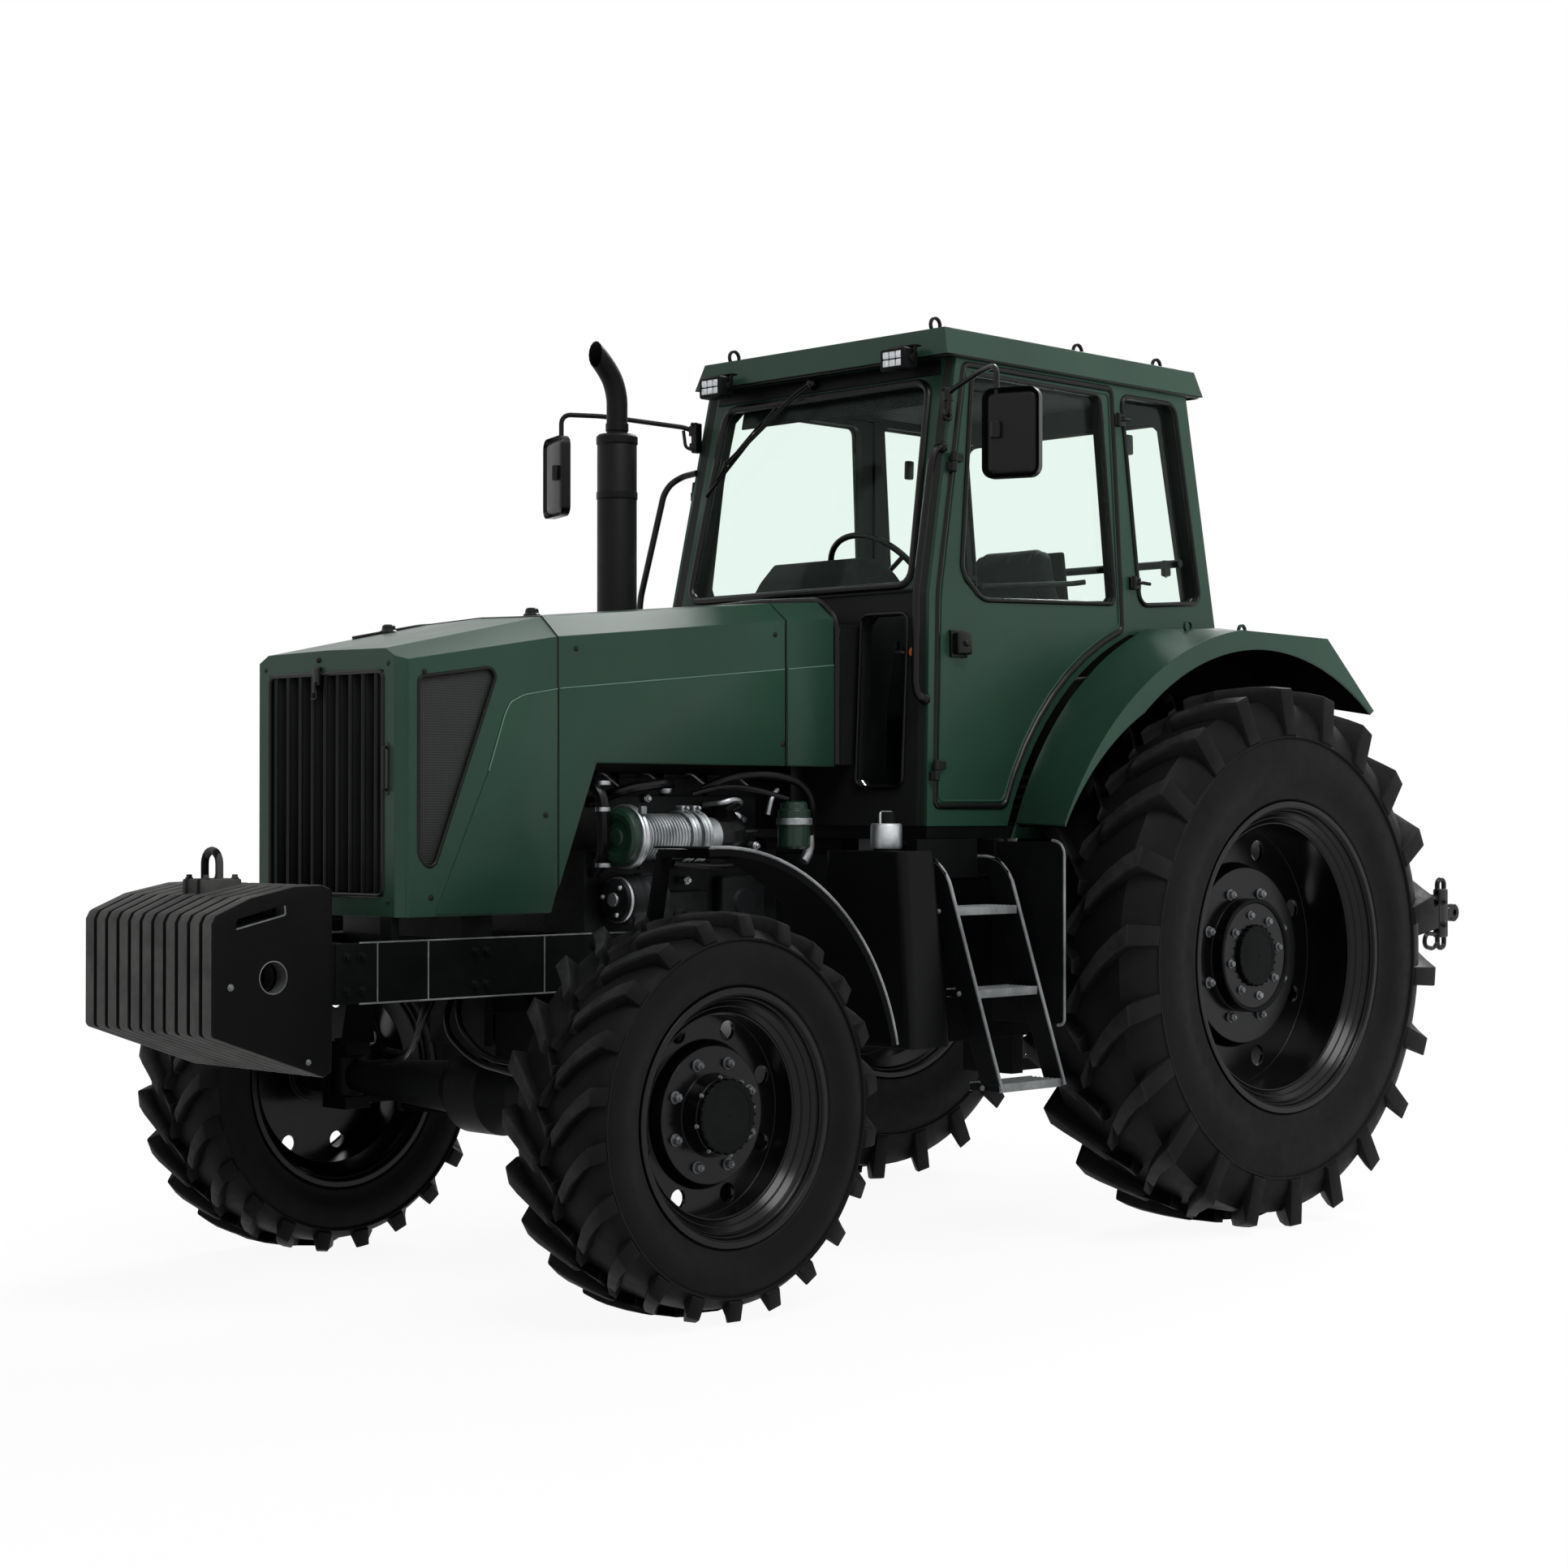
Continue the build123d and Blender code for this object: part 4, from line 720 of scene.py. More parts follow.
for end, w in hubDress.items():
    hub, flange = tyreSizes[end]["hub"], tyreSizes[end]["flange"]
    nut = boltHead(hub + Vector((w["face"], 0, w["ring"])), (1, 0, 0), w["nut"], 0.016)
    stud = disc(hub + Vector((w["face"] + 0.02, 0, w["ring"])), "X", w["nut"] * 0.5, 0.008, 0.001, 12)
    nuts = ringOf(joined([nut, stud]), hub, 8, start=22.5)
    face = hub + Vector((w["capFace"], 0, 0))
    small = boltHead(face + Vector((0, 0, w["inner"])), (1, 0, 0), w["small"], w["small"])
    smalls = ringOf(small, hub, 8, start=10)
    capRows = [
        (0, w["cap"]), (0.012, w["cap"]), (0.015, w["cap"] - 0.004), (0.015, w["cap"] * 0.84),
        (0.0135, w["cap"] * 0.82), (0.0155, w["cap"] * 0.5), (0.017, 0.006), (0.015, 0.004), (0.015, 0)
    ]
    tooth = face + Vector((0, 0, w["cap"]))
    notch = block(tooth + Vector((0.003, -0.004, -0.002)), tooth + Vector((0.0155, 0.004, 0.0035)), 0.001)
    cap = joined([lathe(capRows, face, "X", 48), ringOf(notch, hub, 24)])
    if end == "rear":
        lip = lathe(
            [(0, 0.187), (0.004, 0.187), (0.007, 0.184), (0.007, 0.176), (0.003, 0.171), (0, 0.17)],
            face, "X", 64
        )
        cap = joined([cap, lip])
    rim = hub + Vector((w["half"], 0, 0))
    rings = joined(
        [lathe(rolled(-reach, flange - drop, size), rim, "X", 80) for reach, drop, size in barrelBeads]
    )
    for kind, obj in (("nuts", joined([nuts, smalls])), ("hub_cap", cap), ("rim_rings", rings)):
        for side, piece in pair(obj):
            finished(piece, f"{end}_{kind}_{side}", hubPaint[kind], f"{end}_wheel_{side}")
print("hubs done")

# cab: points on its leaning walls
def wallPoint(y, z, out=0.0):
    h = z - cab["floor"]
    s, c = math.sin(cab["tilt"]), math.cos(cab["tilt"])
    return Vector((cab["half"] - h * s + out * c, axleY + y, cab["floor"] + h * c + out * s))


def screenPoint(x, up, out=0.0, low=False):
    footY, footZ = (cab["frontLow"], cab["floor"]) if low else (cab["frontSill"], cab["sill"])
    topY, topZ = (cab["frontSill"], cab["sill"]) if low else (cab["frontTop"], cab["top"])
    lean = math.atan2(topY - footY, topZ - footZ)
    return Vector((
        x,
        axleY + footY + up * math.sin(lean) - out * math.cos(lean),
        footZ + up * math.cos(lean) + out * math.sin(lean)
    ))


def arcPoints(start, via, end, count=9):
    # points on the circle through three (y, z) points
    (ax, ay), (bx, by), (cx, cy) = start, via, end
    d = 2 * (ax * (by - cy) + bx * (cy - ay) + cx * (ay - by))
    ux = ((ax**2 + ay**2) * (by - cy) + (bx**2 + by**2) * (cy - ay) + (cx**2 + cy**2) * (ay - by)) / d
    uy = ((ax**2 + ay**2) * (cx - bx) + (bx**2 + by**2) * (ax - cx) + (cx**2 + cy**2) * (bx - ax)) / d
    radius = math.hypot(ax - ux, ay - uy)
    first, last = math.atan2(ay - uy, ax - ux), math.atan2(cy - uy, cx - ux)
    turns = [first + (last - first) * n / (count - 1) for n in range(count)]
    return [(ux + radius * math.cos(a), uy + radius * math.sin(a)) for a in turns]


glazing = {
    "door": [(1.497, 2.018), (2.17, 2.041), (2.1165, 2.73), (1.475, 2.73), (1.402, 2.1)],
    "quarter": [(2.303, 2.043), (2.639, 2.067), (2.524, 2.74), (2.23, 2.74)],
    "screen": [(-0.5, 0.026), (0.5, 0.026), (0.458, 0.69), (-0.458, 0.69)],
    "lower": [(0.3, 0.12), (0.498, 0.12), (0.498, 0.66), (0.3, 0.66)],
    "rear": [(-0.48, 0.09), (0.48, 0.09), (0.45, 0.74), (-0.45, 0.74)]
}
doorCurve = arcPoints((1.582, 1.37), (1.84, 1.734), (2.205, 1.955))
doorEdge = [(1.25, 1.37)] + doorCurve + [(2.18, 2.756), (1.438, 2.756), (1.29, 2.03)]
gasket = {"radius": 0.0085, "bend": 0.04}


def wallSeal(outline, out=0.0, radius=gasket["radius"], bend=gasket["bend"]):
    return tube([wallPoint(y, z, out) for y, z in outline], radius, bend, closed=True)


def mirrored(rows):
    # half an arch, then its other half
    return rows + [(-x, z) for x, z in reversed(rows[:-1])]


def rearPoint(x, up, out=0.0):
    lean = math.atan2(cab["rearLow"] - cab["rearTop"], cab["top"] - cab["rearSill"])
    return place(
        x,
        cab["rearLow"] - 0.002 - up * math.sin(lean) + out * math.cos(lean),
        cab["rearSill"] + up * math.cos(lean) + out * math.sin(lean)
    )


wallFoot = Matrix.Translation((cab["half"], 0, cab["floor"]))
leanIn = wallFoot @ Matrix.Rotation(-cab["tilt"], 4, "Y") @ moved(z=-cab["floor"])


def onWall(obj):
    # a piece built as (out of the wall, along it, up it) laid on the leaning left wall
    settle(obj).data.transform(leanIn)
    return obj


def inset(outline, depth):
    # the same outline drawn in by a depth, corner by corner
    made = []
    turn = sum(a[0] * b[1] - b[0] * a[1] for a, b in zip(outline, outline[1:] + outline[:1]))
    way = 1 if turn > 0 else -1
    for before, here, after in zip(outline[-1:] + outline[:-1], outline, outline[1:] + outline[:1]):
        a, b = (Vector(here) - Vector(before)).normalized(), (Vector(after) - Vector(here)).normalized()
        inA, inB = Vector((-a.y, a.x)) * way, Vector((-b.y, b.x)) * way
        made.append(tuple(Vector(here) + (inA + inB) * depth / (1 + inA.dot(inB))))
    return made


# window and door seals
for side, obj in pair([wallSeal(glazing["door"]), wallSeal(doorEdge, -0.003, 0.0105, 0.02)]):
    finished(obj, "door_seals_" + side, sealRubber, "door_" + side[0])
for side, obj in pair(wallSeal(inset(doorEdge, 0.017), 0.0004, 0.004, 0.02)):
    finished(obj, "door_beads_" + side, bodyGreen, "door_" + side[0])
fixedSeals = [both(wallSeal(glazing["quarter"]))]
fixedSeals.append(tube([screenPoint(x, up) for x, up in glazing["screen"]], 0.013, 0.05, closed=True))
fixedSeals.append(
    both(tube([screenPoint(x, up, 0.002, True) for x, up in glazing["lower"]], 0.007, 0.03, closed=True))
)
fixedSeals.append(
    tube([rearPoint(x, up) for x, up in glazing["rear"]], gasket["radius"], 0.05, closed=True)
)
cowlEnd = mirrored([(0.342, 1.5), (0.342, 1.948), (0.275, 2.008), (0.0, 2.017)])
fixedSeals.append(tube([(x, 1.088, z) for x, z in cowlEnd], 0.012, 0.03))
finished(fixedSeals, "cab_seals", sealRubber)

# black header over the windscreen and the sill under it
header = slab(
    [screenPoint(x, up) for x, up in ((-0.5, 0.708), (0.5, 0.708), (0.494, 0.757), (-0.494, 0.757))],
    screenPoint(0, 0, 0.006) - screenPoint(0, 0), 0.002
)
sill = slab(
    [screenPoint(x, up) for x, up in ((-0.515, 0.002), (0.515, 0.002), (0.512, 0.012), (-0.512, 0.012))],
    screenPoint(0, 0, 0.007) - screenPoint(0, 0), 0.002
)
finished([header, sill], "screen_header", bareBlack)

# wiper
wiper = {
    "pivot": (-0.05, 0.735), "knee": (-0.395, 0.485), "blade": ((-0.205, 0.665), (-0.475, 0.385)),
    "gap": 0.016
}
(px, pu), (kx, ku) = wiper["pivot"], wiper["knee"]
armPart = tube(
    [screenPoint(px, pu, 0.03), screenPoint(px - 0.05, pu - 0.036, 0.04), screenPoint(kx, ku, 0.034)],
    0.004, 0.02
)
twinArm = twinOf(armPart, moved(x=-wiper["gap"] * 0.6, z=-wiper["gap"]))
bladePart = tube([screenPoint(x, up, 0.02) for x, up in wiper["blade"]], 0.006)
spinePart = tube(
    [screenPoint(x, up, 0.03) for x, up in ((-0.25, 0.62), (-0.34, 0.535), (-0.43, 0.435))], 0.0035, 0.02
)
motorPart = lathe(
    [(-0.004, 0), (-0.004, 0.02), (0.022, 0.018), (0.032, 0.01), (0.036, 0)],
    screenPoint(px, pu, 0.004), screenPoint(0, 0, 1) - screenPoint(0, 0), 24
)
linkPart = tube(
    [screenPoint(kx + 0.01, ku + 0.01, 0.036), screenPoint(kx - 0.015, ku - 0.02, 0.024)], 0.006
)
finished([armPart, twinArm, bladePart, spinePart, motorPart, linkPart], "wiper", sealRubber)

# work lamps under the roof's front
lamp = {"x": 0.412, "low": 2.735, "high": 2.8, "half": 0.052, "front": 1.272, "back": 1.318}
shell = block(
    (lamp["x"] - lamp["half"], lamp["front"] - 0.01, lamp["low"] - 0.003),
    (lamp["x"] + lamp["half"], lamp["back"], lamp["high"] + 0.003),
    0.009, 3
)
edit(shell, "DESELECT")
done(shell)
for face in shell.data.polygons:
    face.select = face.normal.y < -0.99 and face.area > 0.002
bpy.ops.object.mode_set(mode="EDIT")
bpy.ops.mesh.select_mode(type="FACE")
bpy.ops.mesh.inset(thickness=0.003)
pushed((0, 0.006, 0))
bpy.ops.mesh.select_mode(type="VERT")
done(shell)
lampParts = [shell]
lampParts += [
    block(
        (lamp["x"] - 0.044 + n * 0.0125, lamp["back"] - 0.004, lamp["low"] + 0.008),
        (lamp["x"] - 0.038 + n * 0.0125, lamp["back"] + 0.012, lamp["high"] - 0.008),
        0.001
    )
    for n in range(8)
]
for side in (-1, 1):
    ear = place(lamp["x"] + side * (lamp["half"] + 0.003), lamp["back"] - 0.018, 2.7675)
    lampParts.append(disc(ear, "X", 0.013, 0.006))
    lampParts.append(slab(
        [
            ear + Vector((0, -0.008, -0.006)), ear + Vector((0, 0.008, -0.006)),
            ear + Vector((0, 0.02, 0.046)), ear + Vector((0, 0.008, 0.046))
        ],
        (side * 0.004, 0, 0), 0.001
    ))
lampParts.append(block(
    (lamp["x"] - 0.06, lamp["back"] - 0.012, 2.808), (lamp["x"] + 0.06, lamp["back"] + 0.018, 2.813), 0.001
))
lampParts.append(tube(
    [
        (lamp["x"], lamp["back"] + 0.01, 2.75), (lamp["x"] + 0.01, lamp["back"] + 0.03, 2.744),
        (lamp["x"] + 0.016, lamp["back"] + 0.04, 2.79)
    ],
    0.004, 0.012
))
finished(both(lampParts), "lamp_housings", bareBlack)
cells = []
for row in range(2):
    for column in range(3):
        x, z = lamp["x"] - 0.0275 + column * 0.0275, lamp["low"] + 0.0185 + row * 0.028
        cell = block(
            (x - 0.0122, lamp["front"] - 0.0085, z - 0.0122),
            (x + 0.0122, lamp["front"] - 0.003, z + 0.0122), 0.003
        )
        cells += [
            cell,
            lathe(
                [(-0.0005, 0.0095), (-0.0024, 0.008), (-0.0024, 0.005), (-0.001, 0.0035), (-0.0026, 0)],
                (x, lamp["front"] - 0.0085, z), "Y", 16
            )
        ]
finished(both(cells), "lamp_lenses", lensWhite, "chassis")

# door handles, quarter-window catches and hinge covers
handle = {"back": (1.34, 1.408), "up": (1.836, 1.912), "out": 0.036}
plate = block(
    (0, handle["back"][0] - 0.004, handle["up"][0] - 0.004),
    (0.01, handle["back"][1] + 0.004, handle["up"][1] + 0.004), 0.003
)
grip = block(
    (0.006, handle["back"][0] + 0.002, handle["up"][0] + 0.004),
    (handle["out"], handle["back"][1] - 0.002, handle["up"][1] - 0.004),
    0.006, 3
)
knob = lathe(
    [(0, 0.011), (0.008, 0.011), (0.011, 0.008), (0.011, 0)], (handle["out"] - 0.002, 1.377, 1.875), "X", 24
)
for side, obj in pair(onWall(joined([plate, grip, knob]))):
    finished(obj, "door_handle_" + side, sealRubber, "door_" + side[0])
catchParts = []
for back, up, reach in ((2.19, 2.655, 0.03), (2.25, 2.115, 0.085)):
    catchParts.append(block((0.0, back - 0.004, up - 0.02), (0.012, back + 0.05, up + 0.02), 0.004, 3))
    catchParts.append(disc((0.013, back + 0.01, up), "Z", 0.009, 0.046))
    catchParts.append(tube(
        [(0.012, back + 0.02, up), (0.03, back + 0.03, up), (0.03, back + 0.03 + reach * 0.5, up - 0.002)],
        0.006, 0.008
    ))
    catchParts.append(boltHead((0.012, back + 0.038, up + 0.011), (1, 0, 0), 0.004, 0.003))
finished(both(onWall(joined(catchParts))), "quarter_catches", sealRubber)
insideCatches = [
    block((-0.075, 2.33, 2.56), (-0.052, 2.362, 2.628), 0.006),
    block((-0.075, 2.52, 2.16), (-0.052, 2.552, 2.215), 0.006),
    tube([(-0.06, 2.536, 2.185), (-0.086, 2.545, 2.17), (-0.092, 2.575, 2.165)], 0.005, 0.01)
]
finished(both(onWall(joined(insideCatches))), "inside_catches", sealRubber)

# amber side marker at the foot of the windscreen pillar
marker = lathe(
    [(0, 0.016), (0.004, 0.016), (0.009, 0.013), (0.012, 0)],
    (0.53, 1.236, 1.846),
    screenPoint(0, 0, 1, True) - screenPoint(0, 0, 0, True),
    24
)
finished(both(marker), "side_markers", amber, "chassis")
print("cab trim done")

# mirrors
mirrorSpots = {"left": (0.9, 1.266, 2.49, 20), "right": (-0.925, 1.035, 2.49, -20)}
for side, (x, back, z, turn) in mirrorSpots.items():
    centre = place(x, back, z)
    head = block(centre - Vector((0.091, 0.013, 0.136)), centre + Vector((0.091, 0.013, 0.136)), 0)
    for e in head.data.edges:
        a, b = (head.data.vertices[v].co for v in e.vertices)
        e.select = abs(a.y - b.y) > 0.01
    bpy.ops.object.mode_set(mode="EDIT")
    bpy.ops.mesh.select_mode(type="EDGE")
    bpy.ops.mesh.bevel(offset=0.034, segments=6, affect="EDGES")
    bpy.ops.mesh.select_mode(type="VERT")
    done(head)
    modified(head, "BEVEL", width=0.008, segments=3, limit_method="ANGLE")
    clamp = disc(centre + Vector((-0.045 if x > 0 else 0.045, -0.018, 0.01)), "Z", 0.017, 0.05)
    clampFoot = block(
        centre + Vector(((-0.062 if x > 0 else 0.028), -0.026, -0.01)),
        centre + Vector(((-0.028 if x > 0 else 0.062), -0.008, 0.03)),
        0.004
    )
    head = joined([head, clamp, clampFoot])
    head.data.transform(turned(centre, "Z", turn))
    finished(head, "mirror_head_" + side, sealRubber)
    face = block(centre + Vector((-0.08, 0.0125, -0.125)), centre + Vector((0.08, 0.0145, 0.125)), 0.001)
    face.data.transform(turned(centre, "Z", turn))
    finished(face, "mirror_face_" + side, mirrorFace, "chassis")


def frontEdge(z):
    # how far behind the front axle the cab's front corner is
    if z > cab["sill"]:
        startY, startZ, endY, endZ = cab["frontSill"], cab["sill"], cab["frontTop"], cab["top"]
    else:
        startY, startZ, endY, endZ = cab["frontLow"], cab["floor"], cab["frontSill"], cab["sill"]
    return startY + (z - startZ) * (endY - startY) / (endZ - startZ)


def sideAt(z):
    return cab["half"] - (z - cab["floor"]) * math.tan(cab["tilt"])


armParts = []
for side, (x, back, z, turn) in mirrorSpots.items():
    way = 1 if x > 0 else -1
    stemX, stemY = x - 0.045 * way, back - 0.018
    foot = place(way * (sideAt(2.62) + 0.004), frontEdge(2.62) - 0.016, 2.62)
    arm = tube(
        [
            foot + Vector((0, -0.006, 0.016)), foot + Vector((way * 0.02, -0.02, 0.034)),
            (stemX - way * 0.09, stemY + (foot.y - axleY - stemY) * 0.32, 2.694),
            (stemX, stemY, 2.698), (stemX, stemY, 2.42)
        ],
        0.0085, 0.035
    )
    armParts += [
        arm,
        block(foot + Vector((-0.012, -0.024, -0.052)), foot + Vector((0.012, 0.01, 0.052)), 0.006, 3),
        disc(foot + Vector((way * 0.01, -0.012, 0.024)), "Z", 0.016, 0.034),
        disc(foot + Vector((way * 0.01, -0.012, -0.028)), "Z", 0.014, 0.022),
        tube(
            [
                foot + Vector((way * 0.012, -0.012, -0.04)), foot + Vector((way * 0.03, -0.03, -0.03)),
                foot + Vector((way * 0.036, -0.034, 0.026))
            ],
            0.006, 0.01
        )
    ]
    for lift in (-0.04, 0.044):
        armParts.append(boltHead(foot + Vector((0, -0.024, lift)), (0, -1, 0), 0.006, 0.005))
finished(armParts, "mirror_arms", sealRubber, "chassis", ["cab_fittings"])
railSpots = [
    (2.486, 0.0), (2.486, 0.03), (2.44, 0.046), (2.03, 0.046), (1.74, 0.046), (1.7, 0.03), (1.7, 0.0)
]
bar = tube([(sideAt(z) - 0.012, frontEdge(z) - out, z) for z, out in railSpots], 0.0125, 0.028)
socks = [
    lathe(
        [(-0.004, 0.012), (-0.004, 0.019), (0.006, 0.019), (0.01, 0.015), (0.01, 0.012)],
        (sideAt(z) - 0.012, frontEdge(z) - 0.002, z), (0, -1, 0), 20
    )
    for z in (2.486, 1.7)
]
farRail = tube(
    [
        (-0.56, 1.345, 2.5), (-0.64, 1.34, 2.492), (-0.665, 1.296, 2.45), (-0.755, 1.262, 2.07),
        (-0.74, 1.25, 1.76), (-0.59, 1.236, 1.72)
    ],
    0.011, 0.05
)
finished([bar, farRail] + socks, "handrails", glossBlack)
print("mirrors done")

# grille: corrugated slats, side meshes, latch and pull handle
grille = {"half": 0.264, "low": 1.125, "high": 1.735, "front": -0.59, "slats": 9}
pitch = 2 * (grille["half"] - 0.004) / grille["slats"]
frontY = grille["front"]
slat = slab(
    [
        (x * pitch, frontY + y, grille["low"] + 0.006)
        for x, y in (
            (-0.5, 0.026), (-0.4, 0.024), (-0.24, 0.003), (-0.1, -0.001), (0.1, -0.001), (0.24, 0.003),
            (0.4, 0.024), (0.5, 0.026), (0.5, 0.029), (-0.5, 0.029)
        )
    ],
    (0, 0, grille["high"] - grille["low"] - 0.012), 0.0018
)
rib = block(
    (0.12 * pitch, frontY - 0.004, grille["low"] + 0.012),
    (0.2 * pitch, frontY + 0.004, grille["high"] - 0.012), 0.0012
)
slatRow = copied(
    joined([slat, rib]), [moved(x=(n - (grille["slats"] - 1) / 2) * pitch) for n in range(grille["slats"])]
)
backPlate = block(
    (-grille["half"] + 0.001, frontY + 0.028, grille["low"] + 0.001),
    (grille["half"] - 0.001, frontY + 0.034, grille["high"] - 0.001),
    0.002
)
finished([slatRow, backPlate], "grille_slats", bareBlack, "bonnet", ["grille"])
corners = [
    (-0.262, grille["low"] + 0.002), (0.262, grille["low"] + 0.002), (0.262, grille["high"] - 0.002),
    (-0.262, grille["high"] - 0.002)
]
border = tube([(x, frontY + 0.002, z) for x, z in corners], 0.007, 0.022, closed=True)
latch = joined([
    block((-0.045, frontY - 0.012, 1.7), (-0.015, frontY + 0.006, 1.752), 0.004, 3),
    block((-0.037, frontY - 0.018, 1.68), (-0.023, frontY - 0.008, 1.712), 0.003),
    tube(
        [
            (-0.037, frontY - 0.014, 1.69), (-0.042, frontY - 0.016, 1.664),
            (-0.018, frontY - 0.016, 1.664), (-0.023, frontY - 0.014, 1.69)
        ],
        0.0025, 0.006
    ),
    boltHead((-0.03, frontY - 0.001, 1.771), (0, -1, 0), 0.006, 0.004)
])
pull = joined([
    block((0.274, frontY - 0.002, 1.398), (0.292, frontY + 0.004, 1.54), 0.0025),
    tube(
        [
            (0.283, frontY, 1.412), (0.283, frontY - 0.014, 1.412), (0.283, frontY - 0.014, 1.526),
            (0.283, frontY, 1.526)
        ],
        0.0042, 0.006
    )
])
finished([border, latch, pull], "grille_trim", sealRubber, "bonnet")

vent = [(-0.53, 1.716), (-0.282, 1.75), (-0.262, 1.73), (-0.474, 1.208), (-0.502, 1.204), (-0.53, 1.235)]
ventPanel = slab(
    [
        (0.329, y, z)
        for y, z in (
            (-0.538, 1.724), (-0.276, 1.76), (-0.252, 1.731), (-0.468, 1.198), (-0.506, 1.194),
            (-0.538, 1.232)
        )
    ],
    (0.004, 0, 0), 0.001
)
finished(both(ventPanel), "vent_mesh", ventMesh, "bonnet")
ventRim = tube([(0.3385, y, z) for y, z in vent], 0.0055, 0.022, closed=True)
finished(both(ventRim), "vent_rims", sealRubber, "bonnet")

# bonnet: raised side panels, seams, screws and the strip on its right edge
bonnet = {
    "side": 0.34, "thick": 0.003, "seam": -0.04, "end": 0.864, "cowl": (0.873, 1.078), "bottom": 1.0715,
    "arch": 1.4935
}
foldLine = [
    (-0.475, 1.076), (-0.29, 1.465), (-0.233, 1.622), (-0.212, 1.657), (-0.166, 1.678), (-0.043, 1.6985)
]


def foldAt(back):
    # height of the pressed fold along the bonnet, behind the seam
    return 1.7 + (back + 0.033) * (1.806 - 1.7) / (1.075 + 0.033)


def sidePanel(points):
    return slab([(bonnet["side"] - 0.0005, y, z) for y, z in points], (bonnet["thick"], 0, 0), 0.0011)


gap = 0.003
nosePanel = sidePanel(foldLine + [(bonnet["seam"] - gap, 1.14), (-0.066, bonnet["bottom"])])
lidPanel = sidePanel([
    (bonnet["seam"] + gap, foldAt(bonnet["seam"] + gap)), (bonnet["end"] - 0.002, foldAt(bonnet["end"])),
    (bonnet["end"] - 0.002, bonnet["arch"]), (0.1035, bonnet["arch"]), (bonnet["seam"] + gap, 1.14)
])
cowlLow, cowlHigh = bonnet["cowl"]
cowlPanel = sidePanel([
    (cowlLow, foldAt(cowlLow)), (cowlHigh, foldAt(cowlHigh)), (cowlHigh, bonnet["arch"]),
    (cowlLow, bonnet["arch"])
])
finished(both([nosePanel, lidPanel]), "bonnet_side_panels", bodyGreen, "bonnet")
finished(both(cowlPanel), "cowl_side_panels", bodyGreen, "chassis")
ring = mirrored([(0.3404, 1.145), (0.3404, 1.845), (0.2704, 1.9054), (0.0, 1.9134)])
seamLine = tube([(x, bonnet["seam"], z) for x, z in ring], 0.0024)
finished(seamLine, "bonnet_seam", sealRubber, "bonnet")
cowlRing = mirrored([(0.3404, bonnet["arch"] + 0.002), (0.3404, 1.922), (0.2704, 1.984), (0.0, 1.993)])
finished(
    tube([(x, (bonnet["end"] + cowlLow) / 2, z) for x, z in cowlRing], 0.0026), "cowl_seam", sealRubber
)
# the pressed folds: thin tubes in the paler green, a painted highlight along each fold
proudX = bonnet["side"] + bonnet["thick"] - 0.001
lidFold = tube([(proudX, y, foldAt(y)) for y in (bonnet["seam"] + 0.006, bonnet["end"] - 0.005)], 0.0022)
noseFold = tube([(proudX, y, z) for y, z in foldLine[1:]], 0.002, 0.01)
finished(both([lidFold, noseFold]), "bonnet_fold_highlight", foldHighlightGreen, "bonnet")
cowlFold = tube([(proudX, y, foldAt(y)) for y in (cowlLow + 0.003, cowlHigh - 0.003)], 0.0022)
finished(both(cowlFold), "cowl_fold_highlight", foldHighlightGreen, "chassis")
spots = [(0.027, 1.814), (0.821, 1.889), (-0.086, 1.344), (0.852, 1.558), (-0.488, 1.122), (-0.511, 1.73)]


def screw(at, axis, grow=0.0):
    return lathe(
        [
            (-0.001, 0.008 + grow), (0.001, 0.008 + grow), (0.001, 0.0055 + grow), (0.0035, 0.004 + grow),
            (0.004 + grow, 0.0)
        ],
        at, axis, 20
    )


heads = []
for back, z in spots:
    proud = 0.343 if back > -0.2 and z < foldAt(back) else 0.3402
    heads.append(screw((proud, back, z), "X", 0.0005))
finished(both(heads), "bonnet_screws", sealRubber, "bonnet")
faceHeads = [
    screw((x, frontY, z), (0, -1, 0))
    for x, z in ((0.284, 1.112), (-0.284, 1.112), (-0.284, 1.752), (0.284, 1.752))
]
finished(faceHeads, "nose_screws", sealRubber, "bonnet")
caps = []
for x, back, z in ((0.0, 0.15, 1.929), (-0.255, -0.18, 1.876)):
    caps.append(lathe(
        [(-0.004, 0.026), (0.004, 0.026), (0.008, 0.021), (0.02, 0.019), (0.024, 0.014), (0.025, 0)],
        (x, back, z), "Z", 28
    ))
caps.append(tube([(-0.266, -0.3, 1.856), (-0.266, -0.06, 1.902), (-0.266, 0.42, 1.947)], 0.0055, 0.02))
finished(caps, "bonnet_top_fittings", sealRubber, "bonnet")
print("bonnet done")

# engine side: air cleaner, clamps, filter, alternator, hoses
cleaner = {"x": 0.33, "z": 1.28}
core = place(cleaner["x"], 0, cleaner["z"])
capPart = lathe(
    [
        (0.186, 0), (0.186, 0.022), (0.19, 0.026), (0.19, 0.048), (0.186, 0.052), (0.184, 0.07),
        (0.19, 0.082), (0.214, 0.085), (0.214, 0)
    ],
    core, "Y", 48
)
finished(capPart, "air_cleaner_cap", filterGreen, "chassis")
ribs = [(0.262, 0.06)]
for n in range(13):
    ribs += [
        (0.266 + n * 0.012, 0.061), (0.269 + n * 0.012, 0.068), (0.273 + n * 0.012, 0.068),
        (0.276 + n * 0.012, 0.061)
    ]
drum = lathe(
    [
        (0.212, 0.078), (0.212, 0.092), (0.217, 0.095), (0.224, 0.092), (0.232, 0.095), (0.238, 0.092),
        (0.241, 0.078), (0.256, 0.076), (0.262, 0.066)
    ] + ribs[1:] + [(0.424, 0.06), (0.56, 0.056), (0.56, 0)],
    core, "Y", 56
)
clampRows = []
